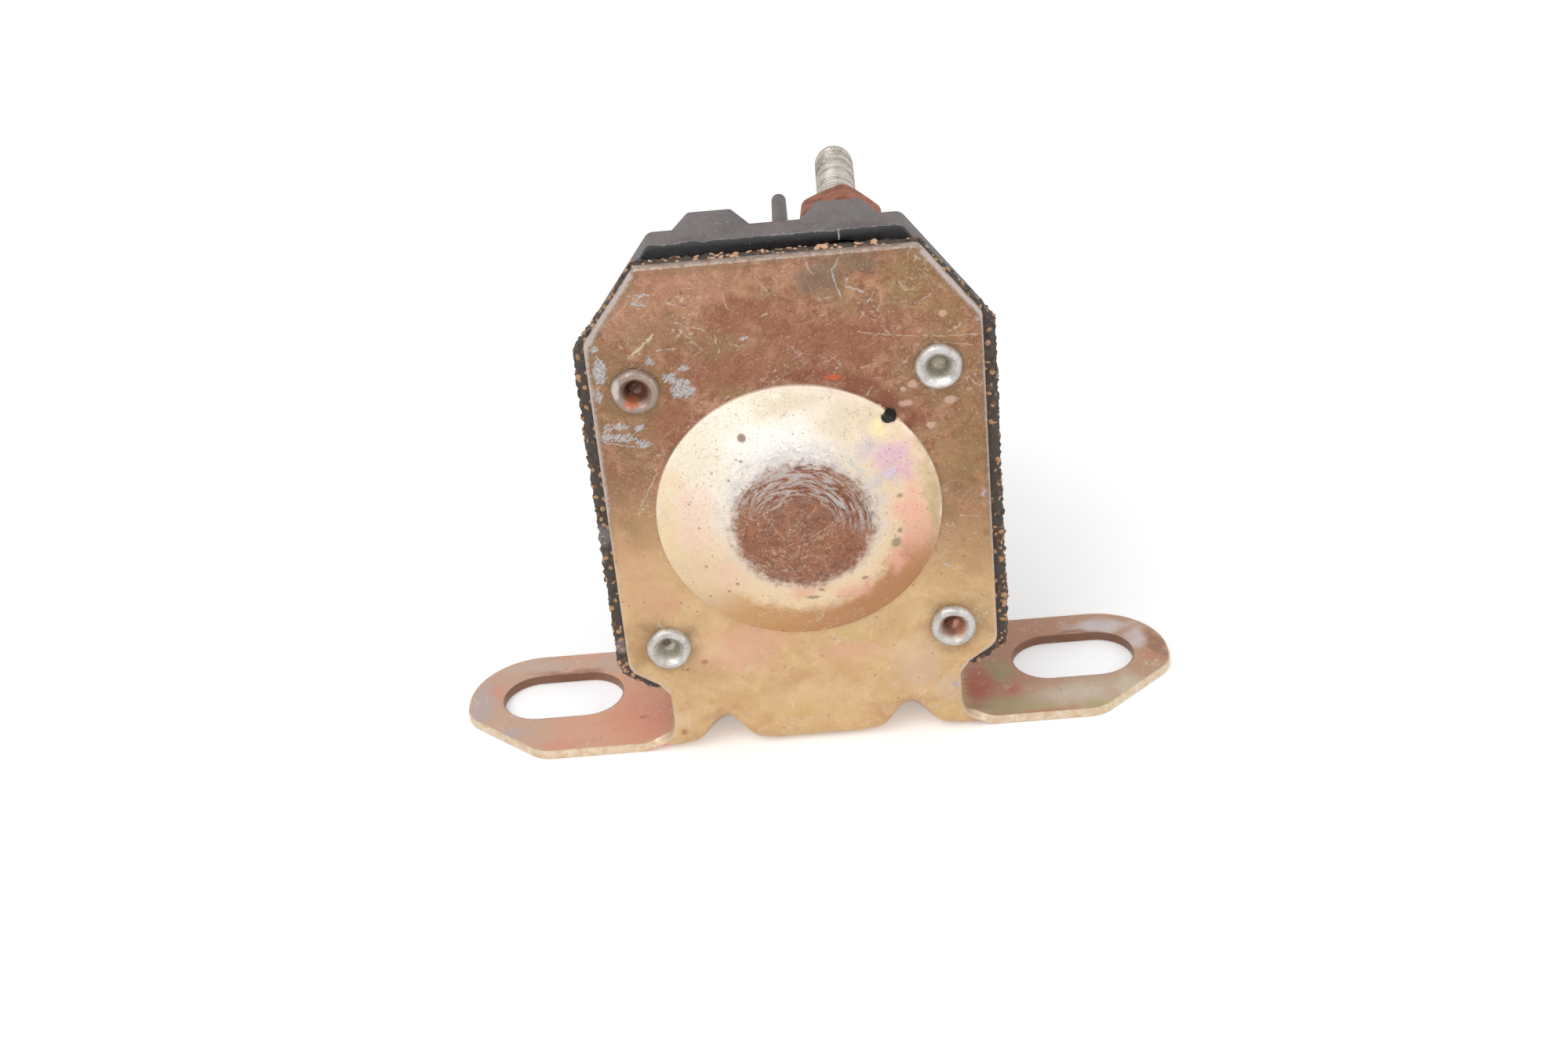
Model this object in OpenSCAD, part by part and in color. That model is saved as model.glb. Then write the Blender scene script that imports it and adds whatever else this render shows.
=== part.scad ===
// Starter solenoid: a moulded housing closed by a stamped cover plate with a domed centre,
// whose lower edge bends back into a slotted mounting flange. Millimetres, +Z up.
// Origin: centre of the two mounting slots, on the underside of the flange.
// Pieces are drawn about the plunger axis, which runs along +Y from the plate's front face.

/* [Cover plate] */
// Thickness of the sheet steel
sheet_t = 1.3; // [1.2:0.1:1.5]
// Width of the plate across its straight sides
plate_w = 45.6; // [44.6:0.2:46.6]
// Width of the straight top edge
plate_top_w = 32; // [30:0.5:34]
// Height of the top edge above the plunger axis
plate_top = 33; // [32.4:0.2:33.4]
// Height of the upper side corners above the plunger axis
plate_shoulder = 23.9; // [22:0.5:25]
// Depth of the lower side corners below the plunger axis
plate_low = 21.1; // [20:0.1:21.6]
// Rounding of the lower side corners
low_corner_r = 2.4; // [1:0.1:3]
// Width of the neck between the plate and the flange
neck_w = 36.2; // [35:0.2:37]
// Depth of the corner where the plate narrows to the neck
neck_top = 23.4; // [23:0.1:23.8]
// Radius of the dome at its foot
dome_r = 17.05; // [16.6:0.05:17.2]
// Height of the dome in front of the plate
dome_h = 4; // [3.8:0.1:4.6]
// Height of the crisp step at the dome's foot
dome_step = 0.3; // [0.2:0.05:0.4]

/* [Mounting flange] */
// Height of the plunger axis above the underside of the flange
axis_h = 34; // [33.5:0.5:36]
// Width over the two ears
flange_w = 91.6; // [90:0.2:94]
// Distance from the plate's front face to the ears' front edge
flange_front = 0.8; // [0.6:0.1:1.2]
// Distance from the plate's front face to the flange's back edge
flange_back = 22.4; // [22:0.2:24]
// Inside radius of the bend
bend_r = 1.5; // [1.2:0.1:2]
// Radius of the fillet between neck and ears
ear_fillet = 4.6; // [3.6:0.2:5]
// Distance between the two slot centres
slot_pitch = 66.7; // [66:0.1:68]
// Width of a slot
slot_w = 9.5; // [8:0.1:10]
// Length of a slot, end to end
slot_l = 15.6; // [14:0.2:16]
// Distance from the plate's front face to the slots' centre line
slot_y = 13; // [12.6:0.1:13.4]
// Distance of the stiffening gussets from the middle
gusset_x = 11.7; // [11:0.1:12.4]
// Depth of a gusset, from the sharp corner of the bend
gusset_deep = 4.4; // [3.5:0.1:5]
// Half width of a gusset at its flared edges
gusset_half = 4.9; // [4:0.1:5.5]
// Slope of a gusset's ridge, down towards the back, in degrees
gusset_tilt = 37; // [30:1:50]

/* [Gasket and rivets] */
// Thickness of the cork gasket
gasket_t = 1.8; // [1.5:0.1:2]
// How far the gasket stands out past the plate's sides
gasket_proud = 1.4; // [1:0.1:1.6]
// Distance between rivets across the plate
rivet_dx = 35; // [34.8:0.1:35.4]
// Distance between rivets up the plate
rivet_dz = 35.7; // [35.4:0.1:36]
// Radius of a rivet's shank
rivet_r = 2.1; // [2:0.05:2.3]

/* [Housing] */
// Thickness of the housing's octagonal base
base_t = 4.9; // [4.5:0.1:5.5]
// Width of the base
base_w = 47.2; // [46.4:0.2:47.6]
// Height of the base's top face above the plunger axis
base_top = 34; // [33.8:0.1:34.4]
// Outside radius of the round tower behind the base
tower_r = 21; // [20.8:0.1:21.2]
// Distance from the plate's front face to the terminal face
tower_back = 37.5; // [37.3:0.1:38]
// Distance from the plate's front face to the back of the terminal bosses
boss_back = 12.7; // [12:0.1:13]
// Distance of the boss centres from the middle
boss_x = 7.5; // [7.2:0.1:7.8]
// How far the barrier between the main studs stands out
barrier_out = 7.5; // [6:0.5:9]
// Height of the barrier's top above the plunger axis
barrier_top = 21.7; // [21.5:0.1:22.5]

/* [Terminals] */
// Distance of the main studs from the middle
main_x = 11.5; // [11.4:0.1:11.6]
// Radius of a main stud, five-sixteenths inch
main_r = 3.97; // [3.9:0.01:4]
// Radius at the root of a main stud's thread, where its nut holds it
main_root_r = 3.5; // [3.4:0.05:3.6]
// Distance from the plate's front face to the main studs' ends
main_tip = 60; // [56:1:64]
// Width across flats of a main stud's nut, half an inch
main_af = 12.7; // [12:0.1:13]
// Radius of the coil stud, size ten
coil_stud_r = 2.41; // [2.3:0.01:2.5]
// Radius at the root of the coil stud's thread, where its nut holds it
coil_root_r = 1.95; // [1.9:0.05:2]
// Height of the coil stud above the plunger axis
coil_stud_z = 28.4; // [28:0.1:28.6]
// Distance from the plate's front face to the coil stud's end
coil_stud_tip = 39; // [36:0.5:42]
// Width across flats of the coil stud's nut, three-eighths inch
coil_af = 9.53; // [9:0.01:10]
// Height of the coil stud's nut
coil_nut_h = 4.4; // [3.2:0.1:4.6]
// Turn of the coil stud's nut from corner-up
coil_nut_turn = 10; // [0:1:59]

/* [Plunger and contacts] */
// Travel of the plunger
travel = 3.2; // [3:0.05:3.2]
// Gap between the contact disc and the stud heads at rest
contact_gap = 2.45; // [2.45:0.01:2.5]
// Radius of the plunger
plunger_r = 6.35; // [6.3:0.01:6.36]
// Radius of the push rod
rod_r = 1.95; // [1.9:0.01:2]
// Radius of the contact disc
disc_r = 15.2; // [14:0.1:16]
// Thickness of the contact disc
disc_t = 1.8; // [1.6:0.1:2]

/* [Coil] */
// Outside radius of the steel frame round the coil
frame_r = 18.8; // [18.5:0.1:18.8]
// Wall of the steel frame
frame_wall = 1.4; // [1.3:0.1:1.5]
// Outside radius of the winding
winding_r = 16.6; // [16:0.1:16.6]

/* [Hidden] */
$fn = 96;
eps = 0.01;

plate_corner_r = 0.9;
dome_wall = 0.9;
dome_power = 2.7;
dome_points = 18;
wing_gap = neck_w + 1.2 * ear_fillet;

bend_out = bend_r + sheet_t;
base_front = sheet_t + gasket_t;
base_back = base_front + base_t;
edge_corner_r = 1.2;
gasket_foot = [20.2, -24.7];
gasket_shoulder = 22.6;
base_foot = [19.6, -24.3];
base_shoulder = 21.6;
base_top_w = 29;
chamber_r = 17.8;
chamber_back = 34;
core_back = 20.6;
pole_back = 22.4;
washer_back = 2.9;
bore_r = frame_r + 0.1;
frame_in_r = frame_r - frame_wall;
tube_in_r = plunger_r + 0.07;
tube_out_r = tube_in_r + 0.3;
core_front = 13.2;
plunger_front = -1.3;
plunger_back = core_front - travel - 0.4;
spring_pocket_r = 4.3;
plunger_pocket = 2.6;
core_pocket = 3.4;
collar_front = 23.2;
collar_back = 24;
disc_front = 27;
disc_back = disc_front + disc_t;
head_front = disc_back + contact_gap;
clip_front = disc_back + 0.8;
clip_back = clip_front + 0.7;
rod_tip = 31;
rod_hole_r = rod_r + 0.15;
main_collar = 0.8;
main_washer_t = 1.2;
main_nut_h = 6.7;
main_nut_front = tower_back + main_collar + main_washer_t;
thread_relief = 0.3;
coil_washer_t = 1.1;
coil_nut_front = boss_back + coil_washer_t;
coil_head_r = 4.2;
bumper_r = 5.4;
lead_x = 7.6;
lead_y = 4.8;
lead_r = 0.45;
lead_start = 15.35;
spring_sides = 6;
spring_rings = 16;

// Moves a piece drawn about the plunger axis into the mounting frame
module on_axis() {
    translate([0, -slot_y, axis_h]) children();
}

// Extrudes an outline drawn across and up, from depth y0 to depth y1
module slab(y0, y1) {
    translate([0, y1, 0]) rotate([90, 0, 0]) linear_extrude(y1 - y0) children();
}

// Round bar along the plunger axis
module bar(r, y0, y1) {
    translate([0, y1, 0]) rotate([90, 0, 0]) cylinder(r = r, h = y1 - y0);
}

// Turned piece: each point is a radius and a depth
module turned(profile) {
    rotate([-90, 0, 0]) rotate_extrude() polygon(profile);
}

// Ring along the plunger axis
module ring(r_out, r_in, y0, y1) {
    difference() {
        bar(r_out, y0, y1);
        bar(r_in, y0 - 1, y1 + 1);
    }
}

// Hexagonal nut on the plunger axis direction, both ends chamfered
module hex_nut(across, bore, y0, h) {
    corner = across / sqrt(3);
    cut = corner - across / 2;
    difference() {
        intersection() {
            translate([0, y0 + h, 0]) rotate([90, 0, 0]) cylinder(r = corner, h = h, $fn = 6);
            turned([
                [0, y0], [across / 2, y0], [corner, y0 + cut * 0.6],
                [corner, y0 + h - cut * 0.6], [across / 2, y0 + h], [0, y0 + h]
            ]);
        }
        bar(bore, y0 - 1, y0 + h + 1);
    }
}

// Corner of an outline rounded to radius r; the points are the corner and its neighbours
function unit(v) = v / norm(v);
function corner_arc(a, b, c, r, n = 5) =
    let (
        u = unit(a - b), w = unit(c - b),
        half = acos(max(-1, min(1, u * w))) / 2,
        reach = r / tan(half), mid = b + unit(u + w) * r / sin(half),
        p = b + u * reach, q = b + w * reach
    )
    [for (i = [0:n]) let (s = p + (q - p) * i / n) mid + unit(s - mid) * r];

// Right half of an outline mirrored to both sides, listed bottom to top
function both_sides(half) =
    concat(half, [for (i = [len(half) - 1:-1:0]) [-half[i][0], half[i][1]]]);

// Right side of an eight-sided outline, from its foot up; the lower side corner is rounder
function right_side(foot, width, low, shoulder, top, top_width, r) =
    let (side = [width / 2, -low], upper = [width / 2, shoulder], crown = [top_width / 2, top])
    concat(
        [foot], corner_arc(foot, side, upper, low_corner_r),
        corner_arc(side, upper, crown, r), corner_arc(upper, crown, [0, top], r)
    );

// Rise of the dome at radius r: flat in the middle, steepest at its foot
function dome_rise(r) = dome_step + (dome_h - dome_step) * (1 - pow(r / dome_r, dome_power));
function dome_line(r_end, shift) =
    [for (i = [0:dome_points]) let (r = r_end * i / dome_points) [r, shift - dome_rise(r * dome_r / r_end)]];

// Cover plate, bent from one sheet
module sheet_section() {
    translate([0, bend_out - axis_h]) square([sheet_t, plate_top + axis_h - bend_out]);
    translate([bend_out, -axis_h]) square([flange_back - bend_out, sheet_t]);
    intersection() {
        translate([bend_out, bend_out - axis_h]) difference() {
            circle(r = bend_out);
            circle(r = bend_r);
        }
        translate([0, -axis_h]) square([bend_out, bend_out]);
    }
}

module plate_front_outline() {
    flange_top = sheet_t - axis_h;
    neck = neck_w / 2;
    fillet = [for (i = [0:8]) let (a = 270 - i * 90 / 8)
        [neck + ear_fillet + ear_fillet * cos(a), flange_top + ear_fillet + ear_fillet * sin(a)]];
    polygon(both_sides(concat(
        [[flange_w, -axis_h - 1], [flange_w, flange_top]],
        fillet,
        [[neck, -neck_top - 1.8]],
        right_side([neck + 1.3, -neck_top], plate_w, plate_low, plate_shoulder,
            plate_top, plate_top_w, plate_corner_r)
    )));
}

module flange_outline() {
    tip = flange_w / 2;
    cut_x = tip - 10.1;
    cut_y = flange_front + 9;
    front = [cut_x, flange_front];
    side = [tip, cut_y];
    back = [tip, flange_back];
    half = concat(
        corner_arc([0, flange_front], front, side, 4),
        corner_arc(front, side, back, 4.5),
        corner_arc(side, back, [0, flange_back], 9.4, 12)
    );
    polygon(both_sides(half));
}

module ear_outline() {
    neck = neck_w / 2;
    flange_outline();
    polygon([
        [-neck - 4.2, flange_front + 1], [-neck - 4.2, flange_front], [-neck - 1.4, -1],
        [neck + 1.4, -1], [neck + 4.2, flange_front], [neck + 4.2, flange_front + 1]
    ]);
}

// Everything outside a gusset's bell-shaped section, moved that far into the sheet
module gusset_channel(side, inward) {
    flare = 0.9;
    half = gusset_half + 0.77 * inward;
    bell = [for (i = [-12:12])
        [half * i / 12, flare + inward + (gusset_deep - flare) * (1 + cos(15 * i)) / 2]];
    translate([side * gusset_x, 0, -axis_h]) rotate([90 - gusset_tilt, 0, 0])
        linear_extrude(30, center = true) polygon(concat(bell, [[half, -8], [-half, -8]]));
}

module slot_cutter() {
    straight = slot_l - slot_w;
    for (side = [-1, 1]) translate([side * slot_pitch / 2, slot_y, -axis_h - 1]) {
        for (end = [-1, 1]) translate([end * straight / 2, 0, 0]) cylinder(d = slot_w, h = sheet_t + 2);
        translate([-straight / 2, -slot_w / 2, 0]) cube([straight, slot_w, sheet_t + 2]);
    }
}

module at_rivets() {
    for (x = [-1, 1]) for (z = [-1, 1]) translate([x * rivet_dx / 2, 0, z * rivet_dz / 2]) children();
}

module cover_plate() {
    color("#b08d57") on_axis() difference() {
        union() {
            intersection() {
                rotate([90, 0, 90]) linear_extrude(flange_w + 2, center = true) sheet_section();
                slab(-1, flange_back + 1) plate_front_outline();
                translate([0, 0, -axis_h - 1]) linear_extrude(axis_h + plate_top + 2) ear_outline();
            }
            translate([0, 0, -axis_h]) linear_extrude(sheet_t) intersection() {
                flange_outline();
                for (side = [-1, 1]) translate([side * flange_w / 2, 0]) square([flange_w - wing_gap, 60], center = true);
            }
            turned(concat(dome_line(dome_r - 0.1, 0), [[dome_r, 0], [dome_r, sheet_t], [0, sheet_t]]));
            for (side = [-1, 1]) intersection() {
                gusset_channel(side, sheet_t);
                translate([side * gusset_x - 7, sheet_t / 2, sheet_t / 2 - axis_h]) cube([14, 12, 12]);
            }
        }
        turned(concat(dome_line(dome_r - dome_wall, sheet_t), [[dome_r - dome_wall, sheet_t + 1], [0, sheet_t + 1]]));
        at_rivets() bar(rivet_r + 0.05, -1, sheet_t + 1);
        slot_cutter();
        for (side = [-1, 1]) gusset_channel(side, 0);
    }
}

// Cork gasket between the plate and the housing
module cover_gasket() {
    width = plate_w + 2 * gasket_proud;
    color("#3b3833") on_axis() difference() {
        slab(sheet_t, base_front) polygon(both_sides(right_side(gasket_foot, width, plate_low + 0.7,
            gasket_shoulder, plate_top - 0.2, plate_top_w + 0.4, edge_corner_r)));
        bar(frame_r + 0.4, 0, 6);
        at_rivets() bar(rivet_r + 0.1, 0, 6);
    }
}

// Rivets with a solid head behind the housing and a rolled tubular end in front of the plate
module cover_rivets() {
    roll = 0.7;
    roll_mid = rivet_r + 0.02;
    color("#b9b8b4") on_axis() at_rivets() {
        turned(concat(
            [[0, 2.4], [1.35, 2]],
            [for (i = [0:8]) let (a = 200 + i * 160 / 8) [roll_mid + roll * cos(a), -0.15 + 0.8 * sin(a)]],
            [[rivet_r + roll, 0], [rivet_r, 0], [rivet_r, base_back], [3.4, base_back]],
            [for (i = [1:5]) [3.4 * cos(i * 90 / 5), base_back + 1.5 * sin(i * 90 / 5)]]
        ));
    }
}

// Moulded housing
module coil_pocket() {
    depth = 2.7;
    translate([boss_x, 0, coil_stud_z]) bar(coil_head_r + 0.4, base_front - 1, base_front + depth);
    translate([boss_x - 1.3, base_front - 1, 17]) cube([2.6, depth + 1, coil_stud_z - 17]);
}

module boss_outline() {
    polygon([
        [-4.9, 16], [-4.9, base_top - 2.4], [-2.5, base_top], [2.5, base_top], [4.9, base_top - 2.4], [4.9, 16]
    ]);
}

module barrier() {
    round_r = 0.95;
    slab(chamber_back + 1.5, tower_back + barrier_out) {
        polygon([
            [-1.3, -17], [1.3, -17], [round_r, barrier_top - round_r], [-round_r, barrier_top - round_r]
        ]);
        translate([0, barrier_top - round_r]) circle(r = round_r);
    }
}

module housing() {
    edge = 1.4;
    color("#2b2a2b") on_axis() difference() {
        union() {
            slab(base_front, base_back) polygon(both_sides(right_side(base_foot, base_w, plate_low + 0.2,
                base_shoulder, base_top, base_top_w, edge_corner_r)));
            turned(concat(
                [[0, base_front], [tower_r + 0.2, base_front], [tower_r + 0.2, base_back]],
                [for (i = [0:6]) let (a = i * 90 / 6)
                    [tower_r - 0.1 - edge + edge * cos(a), tower_back - edge + edge * sin(a)]],
                [[0, tower_back]]
            ));
            for (side = [-1, 1]) translate([side * boss_x, 0, 0]) slab(base_back - 1, boss_back) boss_outline();
            for (side = [-1, 1]) translate([side * main_x, 0, 0]) bar(8, chamber_back + 1, tower_back + main_collar);
            barrier();
        }
        bar(bore_r, 0, pole_back);
        bar(chamber_r, 0, chamber_back);
        bar(3, 0, chamber_back + 1.6);
        for (side = [-1, 1]) translate([side * main_x, 0, 0]) bar(main_r + 0.1, chamber_back - 1, 50);
        translate([boss_x, 0, coil_stud_z]) bar(coil_stud_r + 0.1, 0, 20);
        coil_pocket();
        at_rivets() bar(rivet_r + 0.1, 0, 20);
    }
}

// Main studs, with flatted contact heads inside the housing
module main_stud(x) {
    flat = 9.6;
    chamfer = 0.9;
    translate([x, 0, 0]) {
        intersection() {
            bar(6, head_front, chamber_back);
            translate([-7, head_front - 1, -flat / 2]) cube([14, 6, flat]);
        }
        turned([
            [0, chamber_back - 1], [main_r, chamber_back - 1], [main_r, main_nut_front],
            [main_root_r, main_nut_front], [main_root_r, main_nut_front + main_nut_h + thread_relief],
            [main_r, main_nut_front + main_nut_h + thread_relief], [main_r, main_tip - chamfer],
            [main_r - chamfer, main_tip], [0, main_tip]
        ]);
    }
}

module battery_stud() {
    color("#b87333") on_axis() main_stud(-main_x);
}

module starter_stud() {
    color("#b87333") on_axis() main_stud(main_x);
}

module split_washer(r_out, r_in, y0, t) {
    difference() {
        ring(r_out, r_in, y0, y0 + t);
        translate([0, y0 - 1, 0]) rotate([0, 35, 0]) translate([-0.5, 0, 0]) cube([1, t + 2, r_out + 1]);
    }
}

module main_stud_washers() {
    color("#a9a8a3") on_axis() for (side = [-1, 1]) translate([side * main_x, 0, 0])
        split_washer(6.6, main_r + 0.1, tower_back + main_collar, main_washer_t);
}

module main_stud_nuts() {
    color("#b5a27a") on_axis() for (side = [-1, 1]) translate([side * main_x, 0, 0])
        rotate([0, 15 * side, 0]) hex_nut(main_af, main_root_r, main_nut_front, main_nut_h);
}

// Coil terminal: size ten stud with a hexagonal head in the housing's front pocket
module coil_stud() {
    head_y0 = base_front + 0.7;
    head_y1 = base_front + 2.7;
    color("#c9c5ba") on_axis() translate([boss_x, 0, coil_stud_z]) {
        translate([0, head_y1, 0]) rotate([90, 0, 0]) cylinder(r = coil_head_r, h = head_y1 - head_y0, $fn = 6);
        turned(concat(
            [[0, head_y0 + 1], [coil_stud_r, head_y0 + 1], [coil_stud_r, coil_nut_front],
            [coil_root_r, coil_nut_front], [coil_root_r, coil_nut_front + coil_nut_h + thread_relief],
            [coil_stud_r, coil_nut_front + coil_nut_h + thread_relief]],
            [for (i = [0:8]) let (a = i * 90 / 8)
                [coil_stud_r * cos(a), coil_stud_tip - coil_stud_r + coil_stud_r * sin(a)]]
        ));
    }
}

module coil_stud_washer() {
    color("#8d8a83") on_axis() translate([boss_x, 0, coil_stud_z])
        split_washer(4.2, coil_stud_r + 0.1, boss_back, coil_washer_t);
}

module coil_stud_nut() {
    color("#8a4b32") on_axis() translate([boss_x, 0, coil_stud_z]) rotate([0, 30 + coil_nut_turn, 0])
        hex_nut(coil_af, coil_root_r, coil_nut_front, coil_nut_h);
}

// Magnetic circuit
module coil_frame() {
    color("#8c8f92") on_axis() difference() {
        ring(frame_r, frame_in_r, sheet_t, core_back);
        for (side = [-1, 1]) translate([side * lead_x - 1.5, 0, 10]) cube([3, 6.3, 12]);
    }
}

module pole_plate() {
    color("#8c8f92") on_axis() ring(frame_r, 4.5, core_back, pole_back);
}

module front_pole_washer() {
    color("#9a9c9e") on_axis() ring(frame_in_r - 0.1, tube_out_r, sheet_t, washer_back);
}

module fixed_core() {
    color("#a3a5a7") on_axis() difference() {
        turned([
            [0, core_front], [plunger_r, core_front], [plunger_r, core_back],
            [4.5, core_back], [4.5, pole_back], [0, pole_back]
        ]);
        bar(rod_r + 0.4, 0, 30);
        bar(spring_pocket_r, 0, core_front + core_pocket);
    }
}

module guide_tube() {
    color("#c9a24a") on_axis() ring(tube_out_r, tube_in_r, sheet_t, core_back);
}

// Coil
module bobbin() {
    hub_r = tube_out_r + 0.9;
    flange_r = frame_in_r - 0.2;
    color("#d8cdb0") on_axis() difference() {
        turned([
            [0, washer_back], [flange_r, washer_back], [flange_r, washer_back + 1.1], [hub_r, washer_back + 1.1],
            [hub_r, core_back - 1.2], [flange_r, core_back - 1.2], [flange_r, core_back - 0.1], [0, core_back - 0.1]
        ]);
        bar(tube_out_r, 0, 30);
    }
}

module coil_winding() {
    color("#b4602c") on_axis() ring(winding_r, tube_out_r + 0.9, washer_back + 1.1, core_back - 1.2);
}

module coil_wrap() {
    color("#a08b5e") on_axis() ring(winding_r + 0.3, winding_r, washer_back + 1.1, core_back - 1.2);
}

module coil_lead() {
    head_flat = coil_stud_z - coil_head_r * cos(30);
    color("#b4602c") on_axis() translate([lead_x, lead_y, lead_start]) cylinder(r = lead_r, h = head_flat - lead_start, $fn = 24);
}

module earth_lead() {
    lead_top = 16.7;
    color("#b4602c") on_axis() {
        translate([-lead_x, lead_y, lead_start]) cylinder(r = lead_r, h = lead_top - lead_start, $fn = 24);
        translate([-lead_x, lead_y, lead_top]) sphere(r = lead_r, $fn = 24);
        translate([-lead_x, 0, lead_top]) bar(lead_r, sheet_t, lead_y);
    }
}

// Moving parts
module plunger() {
    color("#b0b3b6") on_axis() difference() {
        turned([
            [0, plunger_front], [plunger_r - 0.6, plunger_front], [plunger_r, plunger_front + 0.6],
            [plunger_r, plunger_back - 0.4], [plunger_r - 0.4, plunger_back], [0, plunger_back]
        ]);
        bar(rod_r, -5, 30);
        bar(3.4, -5, plunger_front + 1.2);
        bar(spring_pocket_r, plunger_back - plunger_pocket, 30);
    }
}

module plunger_rod() {
    color("#c8b273") on_axis() turned([
        [0, plunger_front], [3.3, plunger_front], [3.3, plunger_front + 1.2], [rod_r, plunger_front + 1.2],
        [rod_r, clip_front], [rod_r - 0.5, clip_front], [rod_r - 0.5, clip_back],
        [rod_r, clip_back], [rod_r, rod_tip - 0.4], [rod_r - 0.4, rod_tip], [0, rod_tip]
    ]);
}

module plunger_bumper() {
    inner_scale = dome_r / (dome_r - dome_wall);
    seat = sheet_t - dome_rise(bumper_r * inner_scale) + eps;
    color("#4a4640") on_axis() bar(bumper_r, seat, plunger_front - 0.05);
}

module spring_collar() {
    color("#b9b8b4") on_axis() ring(4.6, rod_r, collar_front, collar_back);
}

module disc_bushing() {
    color("#7a3f2a") on_axis() difference() {
        turned([
            [0, disc_front - 0.8], [4.6, disc_front - 0.8], [4.6, disc_front],
            [3, disc_front], [3, disc_back], [0, disc_back]
        ]);
        bar(rod_hole_r, 0, 40);
    }
}

module contact_disc() {
    color("#c07040") on_axis() ring(disc_r, 3.05, disc_front, disc_back);
}

module disc_washer() {
    color("#7a3f2a") on_axis() ring(4.4, rod_hole_r, disc_back, clip_front);
}

module rod_clip() {
    color("#6f7275") on_axis() difference() {
        ring(3.6, rod_r - 0.5, clip_front, clip_back);
        translate([-1, clip_front - 1, -4]) cube([2, 3, 4]);
    }
}

// Helical spring on the plunger axis, as one open tube with six sides
function spring_point(coil_r, wire_r, y0, y1, turns, t) =
    let (a = 360 * turns * t)
    [coil_r * cos(a), y0 + wire_r + (y1 - y0 - 2 * wire_r) * t, coil_r * sin(a)];
function spring_path(coil_r, wire_r, y0, y1, turns) =
    let (n = round(turns * spring_rings))
    [for (i = [0:n]) spring_point(coil_r, wire_r, y0, y1, turns, i / n)];
function spring_skin(path, wire_r) = [
    for (p = path) let (out = unit([p[0], 0, p[2]])) for (k = [0:spring_sides - 1])
        let (a = 360 * k / spring_sides) p + out * wire_r * cos(a) + [0, wire_r * sin(a), 0]
];
function tube_faces(rings, sides) = concat(
    [for (i = [0:rings - 2]) for (k = [0:sides - 1]) let (j = (k + 1) % sides)
        each [[i * sides + k, i * sides + j, (i + 1) * sides + k],
            [i * sides + j, (i + 1) * sides + j, (i + 1) * sides + k]]],
    [for (k = [1:sides - 2]) [0, k + 1, k]],
    [for (k = [1:sides - 2]) let (e = (rings - 1) * sides) [e, e + k, e + k + 1]]
);
function turn_gap(path, wire_r) = min([
    for (i = [0:len(path) - 1 - spring_rings]) norm(path[i + spring_rings] - path[i]) - 2 * wire_r
]);

module helix(name, coil_r, wire_r, y0, y1, turns) {
    path = spring_path(coil_r, wire_r, y0, y1, turns);
    echo(str(name, " least gap between turns, mm"), turn_gap(path, wire_r));
    polyhedron(spring_skin(path, wire_r), tube_faces(len(path), spring_sides));
}

module return_spring() {
    color("#9ea2a6") on_axis() helix("return_spring", 3.5, 0.35,
        plunger_back - plunger_pocket, core_front + core_pocket, 6);
}

module contact_spring() {
    color("#9ea2a6") on_axis() helix("contact_spring", 3.5, 0.25, collar_back, disc_front - 0.8, 1.5);
}

cover_plate();
cover_gasket();
housing();
cover_rivets();
battery_stud();
starter_stud();
main_stud_washers();
main_stud_nuts();
coil_stud();
coil_stud_washer();
coil_stud_nut();
coil_frame();
pole_plate();
front_pole_washer();
fixed_core();
guide_tube();
bobbin();
coil_winding();
coil_wrap();
coil_lead();
earth_lead();
plunger();
plunger_rod();
plunger_bumper();
return_spring();
spring_collar();
contact_spring();
disc_bushing();
contact_disc();
disc_washer();
rod_clip();
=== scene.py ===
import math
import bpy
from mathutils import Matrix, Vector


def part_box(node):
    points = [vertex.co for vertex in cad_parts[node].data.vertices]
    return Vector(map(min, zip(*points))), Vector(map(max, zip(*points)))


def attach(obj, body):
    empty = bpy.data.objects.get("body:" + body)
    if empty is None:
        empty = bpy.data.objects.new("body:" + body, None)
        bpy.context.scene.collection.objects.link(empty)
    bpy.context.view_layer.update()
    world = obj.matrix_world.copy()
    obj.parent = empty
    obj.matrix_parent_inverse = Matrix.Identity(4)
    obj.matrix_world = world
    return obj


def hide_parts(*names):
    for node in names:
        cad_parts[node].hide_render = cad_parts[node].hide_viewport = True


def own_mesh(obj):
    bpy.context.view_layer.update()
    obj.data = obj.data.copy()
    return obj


bl_info = {
    "name": "Starter Solenoid",
    "version": (1, 0, 0),
    "blender": (4, 5, 0),
    "location": "View3D > Sidebar > Solenoid",
    "description": "Pieces, finishes and stage of a starter solenoid, built round its solids",
    "category": "Object",
}

import bmesh
import bpy
import numpy as np
from bpy.props import FloatProperty, FloatVectorProperty, IntProperty, PointerProperty
from mathutils import Vector, noise
from mathutils.geometry import delaunay_2d_cdt

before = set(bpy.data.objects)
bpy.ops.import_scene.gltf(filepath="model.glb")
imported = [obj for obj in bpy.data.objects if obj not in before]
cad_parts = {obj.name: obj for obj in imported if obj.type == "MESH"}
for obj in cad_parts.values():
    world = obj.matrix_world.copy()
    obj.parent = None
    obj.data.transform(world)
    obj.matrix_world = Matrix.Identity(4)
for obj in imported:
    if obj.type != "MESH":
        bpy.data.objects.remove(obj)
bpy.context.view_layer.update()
PLATE_LOW, PLATE_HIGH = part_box("cover_plate")

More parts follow.
